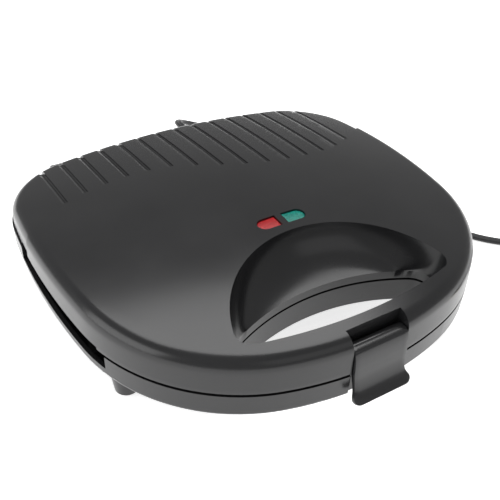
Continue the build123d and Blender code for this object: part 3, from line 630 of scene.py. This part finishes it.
def vary(nodes, links, source, low, high, target):
    """Drive a shader value between low and high by a 0 to 1 output."""
    spread = nodes.new("ShaderNodeMapRange")
    spread.inputs["From Min"].default_value = 0.3
    spread.inputs["From Max"].default_value = 0.7
    spread.inputs["To Min"].default_value = low
    spread.inputs["To Max"].default_value = high
    links.new(source, spread.inputs["Value"])
    links.new(spread.outputs["Result"], target)


def tint(nodes, links, source, dark, light, target):
    """Drive a colour between two tones by a 0 to 1 output."""
    ramp = nodes.new("ShaderNodeValToRGB")
    ramp.color_ramp.elements[0].position = 0.3
    ramp.color_ramp.elements[1].position = 0.7
    ramp.color_ramp.elements[0].color = (*dark, 1)
    ramp.color_ramp.elements[1].color = (*light, 1)
    links.new(source, ramp.inputs["Fac"])
    links.new(ramp.outputs["Color"], target)


def moulded_plastic(name, colour, rough_low, rough_high, grain=900.0, grain_height=0.00002):
    """Moulded plastic: a fine grain, faint flow in its gloss and a trace of colour change."""
    material, nodes, links, shader = node_material(name)
    grain_noise = noise_on_object(nodes, links, grain, 2.0)
    flow = noise_on_object(nodes, links, 22.0, 3.0)
    dark = tuple(c * 0.88 for c in colour)
    light = tuple(c * 1.12 for c in colour)
    tint(nodes, links, flow.outputs["Fac"], dark, light, shader.inputs["Base Color"])
    vary(nodes, links, flow.outputs["Fac"], rough_low, rough_high, shader.inputs["Roughness"])
    add_bump(nodes, links, shader, grain_noise.outputs["Fac"], 0.35, grain_height)
    return material


def metal(name, colour, rough_low, rough_high, stretch=(1, 1, 1), scale=300.0):
    """Plated or drawn metal with fine streaks along one way."""
    material, nodes, links, shader = node_material(name)
    shader.inputs["Metallic"].default_value = 1.0
    place = nodes.new("ShaderNodeTexCoord")
    turn = nodes.new("ShaderNodeMapping")
    turn.inputs["Scale"].default_value = stretch
    noise = nodes.new("ShaderNodeTexNoise")
    noise.inputs["Scale"].default_value = scale
    links.new(place.outputs["Object"], turn.inputs["Vector"])
    links.new(turn.outputs["Vector"], noise.inputs["Vector"])
    dark = tuple(c * 0.85 for c in colour)
    tint(nodes, links, noise.outputs["Fac"], dark, colour, shader.inputs["Base Color"])
    vary(nodes, links, noise.outputs["Fac"], rough_low, rough_high, shader.inputs["Roughness"])
    add_bump(nodes, links, shader, noise.outputs["Fac"], 0.3, 0.00002)
    return material


def coated_plate(name):
    """Dark non-stick coating: speckled, slightly uneven, satin."""
    material, nodes, links, shader = node_material(name)
    speck = noise_on_object(nodes, links, 2600.0, 1.0)
    flow = noise_on_object(nodes, links, 60.0, 4.0)
    dark, light = (0.008, 0.008, 0.009), (0.035, 0.034, 0.034)
    tint(nodes, links, speck.outputs["Fac"], dark, light, shader.inputs["Base Color"])
    vary(nodes, links, flow.outputs["Fac"], 0.32, 0.5, shader.inputs["Roughness"])
    shader.inputs["Metallic"].default_value = 0.25
    add_bump(nodes, links, shader, speck.outputs["Fac"], 0.4, 0.00004)
    return material


def beaded_lens(name, deep, bright):
    """Translucent coloured plastic with a beaded face."""
    material, nodes, links, shader = node_material(name)
    place = nodes.new("ShaderNodeTexCoord")
    beads = nodes.new("ShaderNodeTexVoronoi")
    beads.inputs["Scale"].default_value = 1150.0
    beads.inputs["Randomness"].default_value = 0.35
    links.new(place.outputs["Object"], beads.inputs["Vector"])
    tint(nodes, links, beads.outputs["Distance"], bright, deep, shader.inputs["Base Color"])
    shader.inputs["Roughness"].default_value = 0.18
    shader.inputs["Transmission Weight"].default_value = 0.25
    shader.inputs["IOR"].default_value = 1.49
    shader.inputs["Emission Color"].default_value = (*bright, 1)
    shader.inputs["Emission Strength"].default_value = 0.12
    bump = add_bump(nodes, links, shader, beads.outputs["Distance"], 0.7, 0.00035)
    bump.invert = True
    return material


def soft_rubber(name, colour):
    """Soft black sheath or foot: matt with a faint bloom."""
    material, nodes, links, shader = node_material(name)
    bloom = noise_on_object(nodes, links, 160.0, 4.0)
    light = tuple(c * 1.7 for c in colour)
    tint(nodes, links, bloom.outputs["Fac"], colour, light, shader.inputs["Base Color"])
    vary(nodes, links, bloom.outputs["Fac"], 0.42, 0.58, shader.inputs["Roughness"])
    add_bump(nodes, links, shader, bloom.outputs["Fac"], 0.25, 0.00004)
    return material


def clear_glass(name):
    """The neon lamps' glass."""
    material, nodes, links, shader = node_material(name)
    ripple = noise_on_object(nodes, links, 400.0)
    shader.inputs["Transmission Weight"].default_value = 0.9
    shader.inputs["IOR"].default_value = 1.45
    dark, light = (0.85, 0.8, 0.74), (0.95, 0.9, 0.85)
    tint(nodes, links, ripple.outputs["Fac"], dark, light, shader.inputs["Base Color"])
    vary(nodes, links, ripple.outputs["Fac"], 0.03, 0.08, shader.inputs["Roughness"])
    return material


MATERIALS = {}


def make_materials(colours):
    """Every finish of the press, by the record's slots."""
    MATERIALS.update(
        housing_plastic=moulded_plastic("housing_plastic", tuple(colours.shell_colour), 0.2, 0.25),
        inner_plastic=moulded_plastic("inner_plastic", (0.016, 0.016, 0.017), 0.45, 0.55, 1400.0, 0.00004),
        plate_coating=coated_plate("plate_coating"),
        element_steel=metal("element_steel", (0.42, 0.38, 0.33), 0.35, 0.5),
        reflector_sheet=metal("reflector_sheet", (0.75, 0.75, 0.76), 0.25, 0.4, (1, 8, 1), 120.0),
        screw_steel=metal("screw_steel", (0.62, 0.62, 0.6), 0.28, 0.42),
        red_lens_plastic=beaded_lens("red_lens_plastic", (0.22, 0.004, 0.006), tuple(colours.red_colour)),
        green_lens_plastic=beaded_lens("green_lens_plastic", (0.0, 0.10, 0.08), tuple(colours.green_colour)),
        lamp_glass=clear_glass("lamp_glass"),
        white_plastic=moulded_plastic("white_plastic", (0.72, 0.7, 0.65), 0.4, 0.5),
        foot_rubber=soft_rubber("foot_rubber", (0.018, 0.018, 0.018)),
        cord_rubber=soft_rubber("cord_rubber", (0.011, 0.011, 0.012)),
        tie_plastic=soft_rubber("tie_plastic", (0.02, 0.02, 0.02)),
        plug_brass=metal("plug_brass", (0.78, 0.66, 0.42), 0.18, 0.3, (1, 6, 6), 200.0),
    )


def dress(piece, slot, body=None):
    """Give a piece its finish, and its body where it isn't a CAD node."""
    piece.data.materials.clear()
    piece.data.materials.append(MATERIALS[slot])
    if body:
        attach(piece, body)


# ------------------------------------------------------------------ settings
class PressSizes(bpy.types.PropertyGroup):
    """Sizes of the ribbed field and the lead."""

    groove_count: IntProperty(name="Grooves", description="How many grooves the lid has", default=15, min=1)
    groove_pitch: FloatProperty(
        name="Groove pitch", description="From groove to groove", default=0.0132, unit="LENGTH"
    )
    groove_width: FloatProperty(
        name="Groove width", description="Across one groove", default=0.0060, unit="LENGTH"
    )
    groove_depth: FloatProperty(
        name="Groove depth", description="Down from the crown", default=0.0018, unit="LENGTH"
    )
    groove_setback: FloatProperty(
        name="Groove setback", description="From the wave to the grooves", default=0.0028, unit="LENGTH"
    )
    lead_length: FloatProperty(
        name="Lead", description="Length of the mains lead", default=0.86, unit="LENGTH"
    )
    wave_step: FloatProperty(
        name="Wave step", description="Step down at the wave", default=0.0010, unit="LENGTH"
    )


class PressFinish(bpy.types.PropertyGroup):
    """Colours of the shells and lamps."""

    shell_colour: FloatVectorProperty(
        name="Shell", description="Colour of the shells", subtype="COLOR", default=(0.013, 0.013, 0.0138)
    )
    red_colour: FloatVectorProperty(
        name="Red lamp", description="Colour of the left lens", subtype="COLOR", default=(0.72, 0.03, 0.035)
    )
    green_colour: FloatVectorProperty(
        name="Green lamp", description="Colour of the right lens", subtype="COLOR", default=(0.01, 0.42, 0.33)
    )


# ------------------------------------------------------------------ operators
class PRESS_OT_stage(bpy.types.Operator):
    """Set the floor, the lights and the camera."""

    bl_idname = "press.stage"
    bl_label = "Stage"

    def execute(self, context):
        scene = context.scene
        reach = FLOOR_REACH
        corners = [(-reach, -reach, 0), (reach, -reach, 0), (reach, reach, 0), (-reach, reach, 0)]
        floor = new_mesh_piece("floor", corners, [(0, 1, 2, 3)], smooth=False)
        material, nodes, links, shader = node_material("floor")
        grain = noise_on_object(nodes, links, 40.0)
        dark, light = (0.93, 0.93, 0.93), (0.95, 0.95, 0.95)
        tint(nodes, links, grain.outputs["Fac"], dark, light, shader.inputs["Base Color"])
        shader.inputs["Roughness"].default_value = 0.9
        shader.inputs["Specular IOR Level"].default_value = 0.0
        shader.inputs["Emission Color"].default_value = (1, 1, 1, 1)
        shader.inputs["Emission Strength"].default_value = 0.75
        floor.data.materials.append(material)
        world = bpy.data.worlds.new("studio")
        world.use_nodes = True
        world.node_tree.nodes["Background"].inputs["Color"].default_value = (1, 1, 1, 1)
        world.node_tree.nodes["Background"].inputs["Strength"].default_value = 0.40
        scene.world = world
        for name, place, aim, size, watts in LIGHTS:
            light = bpy.data.lights.new(name, "AREA")
            light.shape = "RECTANGLE"
            light.size, light.size_y = size
            light.energy = watts
            lamp = bpy.data.objects.new(name, light)
            scene.collection.objects.link(lamp)
            lamp.location = place
            lamp.rotation_euler = (Vector(aim) - Vector(place)).to_track_quat("-Z", "Y").to_euler()
        camera = bpy.data.cameras.new("camera")
        camera.lens = CAMERA_LENS
        camera.sensor_width = 36.0
        camera.shift_x, camera.shift_y = CAMERA_SHIFT
        holder = bpy.data.objects.new("camera", camera)
        scene.collection.objects.link(holder)
        right, up = Vector(CAMERA_RIGHT), Vector(CAMERA_UP)
        back = right.cross(up)
        turn = Matrix((right, up, back)).transposed().to_4x4()
        holder.matrix_world = Matrix.Translation(Vector(CAMERA_PLACE)) @ turn
        scene.camera = holder
        scene.view_settings.view_transform = "Standard"
        return {"FINISHED"}


class PRESS_OT_finish(bpy.types.Operator):
    """Give every CAD node its material."""

    bl_idname = "press.finish"
    bl_label = "Materials"

    def execute(self, context):
        make_materials(context.scene.press_finish)
        slots = {entry["node"]: entry["material_slot"] for entry in frame["record"]["subparts"]}
        for name, node in frame["nodes"].items():
            dress(node, slots[name])
        return {"FINISHED"}


class PRESS_OT_lid(bpy.types.Operator):
    """Build the lid's shell: crowned, grooved behind the wave, scooped and pierced for the hand."""

    bl_idname = "press.lid"
    bl_label = "Lid shell"

    def execute(self, context):
        sizes = context.scene.press_sizes
        lid = lid_form("lid_shell", edge_round=EDGE_ROUND)
        behind = [(x, y) for x, y in WAVE] + [(0.125, 0.14), (-0.125, 0.14)]
        step = prism("step", behind, LID_EDGE - 0.001, CROWN_TOP + OVER)
        fall = sizes.wave_step
        cut(step, lid_form("field", fall, fall, SHOULDER - fall, LID_EDGE - 0.003))
        cut(lid, step)
        for i in range(sizes.groove_count):
            cut(lid, groove_tool((i - (sizes.groove_count - 1) / 2) * sizes.groove_pitch, i, sizes))
        cut(lid, scoop_tool("scoop"))
        half = LATCH_HALF + LATCH_GAP
        cut(lid, box_tool("recess", (-half, -0.14, 0.03), (half, RECESS_Y, 0.09)))
        for side in (1, -1):
            cut(lid, prism("window", lens_outline(side), CROWN_TOP - 0.008, CROWN_TOP + OVER))
            low, high = sorted((side * SIDE_GAP_NEAR, side * SIDE_GAP_FAR))
            cut(lid, box_tool("gap", (low, SIDE_GAP_FRONT, 0.03), (high, SIDE_GAP_REAR, SIDE_GAP_TOP)))
        cavity = lid_form("cavity", WALL, WALL, INNER_SHOULDER, LID_EDGE - 0.002)
        cut(cavity, scoop_tool("kept_round_scoop", WALL))
        kept = half + WALL
        cut(cavity, box_tool("kept_for_latch", (-kept, -0.13, 0.03), (kept, RECESS_Y + WALL, 0.08)))
        cut(lid, cavity)
        for side in (1, -1):
            near, far = sorted((side * LUG_NEAR, side * LUG_FAR))
            lug = turned_x("lug", HINGE, BARREL, near, far, 48)
            cut(lug, box_tool("web", (near, 0.1085, 0.0407), (far, 0.1150, 0.0470)), "UNION")
            for low, high in LUG_SLOTS:
                start, end = sorted((side * low, side * high))
                cut(lid, turned_x("clearance", HINGE, BARREL_CLEAR, start, end, 48))
            cut(lid, lug, "UNION")
            cut(lid, turned_x("pin_bore", HINGE, BARREL_BORE, near - 0.001, far + 0.001, 32))
        cut(lid, turned_x("pin_bore", LATCH_PIN, LATCH_BORE, -LATCH_BORE_REACH, LATCH_BORE_REACH, 32))
        sharpen(lid, 22)
        dress(lid, "housing_plastic", "lid")
        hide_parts("upper_housing")
        return {"FINISHED"}


class PRESS_OT_lenses(bpy.types.Operator):
    """Set the two beaded lamp lenses a little under the crown, each with a softened rim."""

    bl_idname = "press.lenses"
    bl_label = "Lamp lenses"

    def execute(self, context):
        for side, name in ((-1, "red_lens"), (1, "green_lens")):
            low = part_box(name)[0][2]
            plan = lens_outline(side, -LENS_FIT)
            centre = (sum(x for x, _ in plan) / len(plan), sum(y for _, y in plan) / len(plan))
            rings = []
            for inset, drop in LENS_RINGS:
                ring = []
                for x, y in plan:
                    reach = math.hypot(x - centre[0], y - centre[1])
                    px, py = x - (x - centre[0]) / reach * inset, y - (y - centre[1]) / reach * inset
                    ring.append((px, py, low if drop is None else crown(px, py) - drop))
                rings.append(ring)
            lens = ring_solid(name + "_beaded", rings)
            sharpen(lens, 50)
            dress(lens, name + "_plastic", "lid")
            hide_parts(name)
        return {"FINISHED"}


class PRESS_OT_latch(bpy.types.Operator):
    """Build the latch: a curved plate on a round hub, waisted above its flared, round-cornered lip."""

    bl_idname = "press.latch"
    bl_label = "Latch"

    def execute(self, context):
        line = smooth_line(LATCH_LINE, 6)
        half = smooth_line(LATCH_HALVES, 6)
        rings = []
        for i, (y, z) in enumerate(line):
            before, after = line[max(i - 1, 0)], line[min(i + 1, len(line) - 1)]
            length = math.hypot(after[0] - before[0], after[1] - before[1])
            back = ((before[1] - after[1]) / length, (after[0] - before[0]) / length)
            width = half_at(half, z)
            share = min((z - line[-1][1]) / LATCH_CORNER, 1.0)
            width -= LATCH_CORNER * (1 - math.sqrt(max(1 - (1 - share) ** 2, 0)))
            ring = []
            for k in range(LATCH_COLUMNS + 1):
                ring.append((width * (2 * k / LATCH_COLUMNS - 1), y, z))
            thick = LATCH_THICK * (0.7 + 0.3 * min(share, 1.0))
            for k in range(LATCH_COLUMNS + 1):
                across = width * (1 - 2 * k / LATCH_COLUMNS)
                ring.append((across, y + thick * back[0], z + thick * back[1]))
            rings.append(ring)
        latch = ring_solid("latch_plate", rings)
        hub = turned_x("hub", LATCH_PIN, LATCH_HUB, -LATCH_HALF, LATCH_HALF, 40)
        cut(latch, hub, "UNION")
        soften(latch, EDGE_ROUND, 2, 40)
        cut(latch, turned_x("bore", LATCH_PIN, LATCH_BORE, -0.03, 0.03, 32))
        sharpen(latch, 34)
        dress(latch, "housing_plastic", "latch")
        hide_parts("latch")
        return {"FINISHED"}


def half_at(line, z):
    """The latch's half width at height z, from its (half width, z) line."""
    for a, b in zip(line, line[1:]):
        if min(a[1], b[1]) <= z <= max(a[1], b[1]) and a[1] != b[1]:
            return a[0] + (b[0] - a[0]) * (z - a[1]) / (b[1] - a[1])
    return line[0][0] if z > line[0][1] else line[-1][0]


def turned_x(name, centre, radius, start, end, count):
    """A cylinder along X between two x values, round a (y, z) centre."""
    ring = arc_points(centre, radius, 0, 2 * math.pi, count)[:-1]
    points = [(start, y, z) for y, z in ring] + [(end, y, z) for y, z in ring]
    faces = [(i, (i + 1) % count, count + (i + 1) % count, count + i) for i in range(count)]
    faces += [tuple(range(count))[::-1], tuple(range(count, 2 * count))]
    return new_mesh_piece(name, points, faces, smooth=False)


def soften(piece, width, segments, degrees):
    """Round the piece's hard edges."""
    modifier = piece.modifiers.new("soften", "BEVEL")
    modifier.width = width
    modifier.segments = segments
    modifier.limit_method = "ANGLE"
    modifier.angle_limit = math.radians(degrees)
    modifier.use_clamp_overlap = True
    bake_modifiers(piece)


def repeat_tree():
    """A node group that sets one piece on every point of a mesh and gives it a finish."""
    tree = bpy.data.node_groups.new("repeat_on_points", "GeometryNodeTree")
    tree.interface.new_socket(name="Geometry", in_out="OUTPUT", socket_type="NodeSocketGeometry")
    tree.interface.new_socket(name="Geometry", in_out="INPUT", socket_type="NodeSocketGeometry")
    tree.interface.new_socket(name="Piece", in_out="INPUT", socket_type="NodeSocketObject")
    tree.interface.new_socket(name="Finish", in_out="INPUT", socket_type="NodeSocketMaterial")
    start = tree.nodes.new("NodeGroupInput")
    end = tree.nodes.new("NodeGroupOutput")
    piece = tree.nodes.new("GeometryNodeObjectInfo")
    place = tree.nodes.new("GeometryNodeInstanceOnPoints")
    real = tree.nodes.new("GeometryNodeRealizeInstances")
    finish_node = tree.nodes.new("GeometryNodeSetMaterial")
    tree.links.new(start.outputs["Piece"], piece.inputs["Object"])
    tree.links.new(start.outputs["Geometry"], place.inputs["Points"])
    tree.links.new(piece.outputs["Geometry"], place.inputs["Instance"])
    tree.links.new(place.outputs["Instances"], real.inputs["Geometry"])
    tree.links.new(real.outputs["Geometry"], finish_node.inputs["Geometry"])
    tree.links.new(start.outputs["Finish"], finish_node.inputs["Material"])
    tree.links.new(finish_node.outputs["Geometry"], end.inputs["Geometry"])
    return tree


def solids_of(node):
    """Low and high corners of each separate solid of a CAD node, and the height of its widest part."""
    work = bmesh.new()
    work.from_mesh(node.data)
    bmesh.ops.remove_doubles(work, verts=work.verts, dist=1e-6)
    left = set(work.verts)
    found = []
    while left:
        group, edge = set(), [left.pop()]
        while edge:
            vert = edge.pop()
            group.add(vert)
            for link in vert.link_edges:
                other = link.other_vert(vert)
                if other in left:
                    left.discard(other)
                    edge.append(other)
        low = Vector([min(v.co[i] for v in group) for i in range(3)])
        high = Vector([max(v.co[i] for v in group) for i in range(3)])
        middle = (low + high) / 2
        widest = max(group, key=lambda v: math.hypot(v.co.x - middle.x, v.co.y - middle.y))
        found.append((low, high, widest.co.z))
    work.free()
    return found


def turned_unit(name, profile, count=40):
    """A piece turned about Z from a (radius, z) profile that starts and ends on the axis."""
    turns = [2 * math.pi * i / count for i in range(count)]
    return ring_solid(name, [[(r * math.cos(a), r * math.sin(a), z) for a in turns] for r, z in profile])


def repeat(tree, node_name, unit, spots, slot):
    """Set the unit on each spot and stand the result in for a CAD node."""
    holder = new_mesh_piece(node_name + "_made", spots, [])
    modifier = holder.modifiers.new("repeat", "NODES")
    modifier.node_group = tree
    sockets = [item for item in tree.interface.items_tree if item.in_out == "INPUT"]
    keys = {item.name: item.identifier for item in sockets}
    modifier[keys["Piece"]] = unit
    modifier[keys["Finish"]] = MATERIALS[slot]
    bake_modifiers(holder)
    bpy.data.objects.remove(unit)
    sharpen(holder, 35)
    bodies = frame["record"]["behaviour"]["bodies"]
    body = next(name for name, nodes in bodies.items() if node_name in nodes)
    dress(holder, slot, body)
    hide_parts(node_name)


class PRESS_OT_small_parts(bpy.types.Operator):
    """Set the ringed rubber feet and the cross-headed screws on their places."""

    bl_idname = "press.small_parts"
    bl_label = "Feet and screws"

    def execute(self, context):
        tree = repeat_tree()
        feet = solids_of(frame["nodes"]["rubber_feet"])
        low, high, _ = feet[0]
        radius, tall = (high.x - low.x) / 2, high.z - low.z
        profile = [(FOOT_POLE, FOOT_TREAD)]
        profile += [(radius * share, z) for share, z in FOOT_RINGS]
        profile += [(radius, tall - 0.0003), (radius * 0.97, tall), (FOOT_POLE, tall)]
        unit = turned_unit("foot", profile)
        spots = [((a.x + b.x) / 2, (a.y + b.y) / 2, a.z) for a, b, _ in feet]
        repeat(tree, "rubber_feet", unit, spots, "foot_rubber")
        for name in SCREW_NODES:
            screws = solids_of(frame["nodes"][name])
            low, high, head_z = screws[0]
            way = 1 if head_z > (low.z + high.z) / 2 else -1
            unit = screw_unit(high.x - low.x, high.z - low.z, way)
            spots = [((a.x + b.x) / 2, (a.y + b.y) / 2, (a.z + b.z) / 2) for a, b, _ in screws]
            repeat(tree, name, unit, spots, "screw_steel")
        return {"FINISHED"}


def screw_unit(width, tall, way):
    """A screw about its own middle: a domed head with a cross recess, and its threaded shank."""
    radius, top = width / 2, tall / 2
    profile = [(0.0002, top), (radius * 0.45, top - 0.00006), (radius * 0.8, top - 0.0002)]
    profile += [(radius * 0.97, top - 0.0005), (radius, top - 0.0007), (radius, top - SCREW_HEAD)]
    shank, root = SCREW_SHANK, SCREW_SHANK * SCREW_ROOT
    profile.append((shank, top - SCREW_HEAD))
    z = top - SCREW_HEAD
    while z > -top + 0.0009:
        profile += [(shank, z - 0.0001), (root, z - 0.0003), (root, z - 0.0004), (shank, z - SCREW_PITCH)]
        z -= SCREW_PITCH
    profile += [(shank * 0.8, -top + 0.0001), (0.0002, -top)]
    unit = turned_unit("screw", profile[::-1], 28)
    arm, reach = SCREW_ARM, radius * 0.55
    for across, along in ((arm, reach), (reach, arm)):
        low, high = (-across, -along, top - SCREW_RECESS), (across, along, top + 0.001)
        cut(unit, box_tool("slot", low, high))
    if way < 0:
        unit.data.transform(Matrix.Rotation(math.pi, 4, "X"))
    return unit


def coil_points(centre_x, centre_y):
    """The put-away turns: one wide, one inside it, and half a turn on top that leads to the plug."""
    points = []
    for i in range(1, round(COIL_TURNS * COIL_STEPS) + 1):
        done = i / COIL_STEPS
        angle = math.pi / 2 - done * 2 * math.pi
        lift = COIL_LIFT + 0.0008 * min(done * 4, 1)
        if done < 1:
            radius = COIL_RADIUS + COIL_SPREAD * min(done * 3, 1)
        elif done < 2:
            radius = 0.0328 - 0.0056 * min((done - 1) * 3, 1)
        else:
            radius = 0.0272 + COIL_SPREAD * min((done - 2) * 3, 1)
            lift += 0.0036 * min((done - 2) * 4, 1)
        points.append((centre_x + radius * math.cos(angle), centre_y + radius * math.sin(angle), lift))
    return points


class PRESS_OT_lead(bpy.types.Operator):
    """Lay the flat two-core lead along its route, round its put-away coil and into the plug."""

    bl_idname = "press.lead"
    bl_label = "Mains lead"

    def execute(self, context):
        coil_low, coil_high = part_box("cord_coil")
        centre_x = (coil_low[0] + coil_high[0]) / 2
        centre_y = (coil_low[1] + coil_high[1]) / 2
        points = CORD_ROUTE + coil_points(centre_x, centre_y)
        plug_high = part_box("plug")[1]
        plug_z = (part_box("plug")[0][2] + plug_high[2]) / 2
        plug_y = centre_y - COIL_RADIUS
        points += [(plug_high[0] + 0.006, plug_y, plug_z - 0.0003), (plug_high[0] - 0.002, plug_y, plug_z)]
        curve = bpy.data.curves.new("mains_lead", "CURVE")
        curve.dimensions = "3D"
        curve.twist_mode = "Z_UP"
        spline = curve.splines.new("NURBS")
        spline.points.add(len(points) - 1)
        for point, place in zip(spline.points, points):
            point.co = (*place, 1)
        spline.order_u = 3
        spline.use_endpoint_u = True
        spline.resolution_u = 10
        section = bpy.data.curves.new("lead_section", "CURVE")
        section.dimensions = "2D"
        loop = section.splines.new("POLY")
        core = CORD_THICKNESS / 2
        reach = CORD_WIDTH / 2 - core
        half_turn = math.radians(128)
        right = [(reach + x, y) for x, y in arc_points((0, 0), core, -half_turn, half_turn, 16)]
        outline = right + [(-x, -y) for x, y in right]
        loop.points.add(len(outline) - 1)
        for point, (x, y) in zip(loop.points, outline):
            point.co = (x, y, 0, 1)
        loop.use_cyclic_u = True
        profile = bpy.data.objects.new("lead_section", section)
        context.scene.collection.objects.link(profile)
        profile.hide_render = True
        curve.bevel_mode = "OBJECT"
        curve.bevel_object = profile
        curve.use_fill_caps = True
        lead = bpy.data.objects.new("mains_lead", curve)
        context.scene.collection.objects.link(lead)
        curve.materials.append(MATERIALS["cord_rubber"])
        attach(lead, "base")
        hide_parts("power_cord", "cord_coil")
        return {"FINISHED"}


class PRESS_PT_panel(bpy.types.Panel):
    """The press's pieces in the 3D view's sidebar."""

    bl_label = "Panini Press"
    bl_space_type = "VIEW_3D"
    bl_region_type = "UI"
    bl_category = "Press"

    def draw(self, context):
        for settings in (context.scene.press_sizes, context.scene.press_finish):
            for name in settings.__annotations__:
                self.layout.prop(settings, name)
        for operator in OPERATORS:
            self.layout.operator(operator.bl_idname)


OPERATORS = (
    PRESS_OT_stage,
    PRESS_OT_finish,
    PRESS_OT_lid,
    PRESS_OT_lenses,
    PRESS_OT_latch,
    PRESS_OT_small_parts,
    PRESS_OT_lead,
)
CLASSES = (PressSizes, PressFinish, *OPERATORS, PRESS_PT_panel)


def register():
    """Add the settings, the operators and the panel."""
    for each in CLASSES:
        bpy.utils.register_class(each)
    bpy.types.Scene.press_sizes = PointerProperty(type=PressSizes)
    bpy.types.Scene.press_finish = PointerProperty(type=PressFinish)


def unregister():
    """Take them away again, in reverse."""
    del bpy.types.Scene.press_finish
    del bpy.types.Scene.press_sizes
    for each in reversed(CLASSES):
        bpy.utils.unregister_class(each)


def main():
    """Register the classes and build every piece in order."""
    register()
    for operator in OPERATORS:
        group, name = operator.bl_idname.split(".")
        getattr(getattr(bpy.ops, group), name)()


if __name__ == "__main__":
    main()
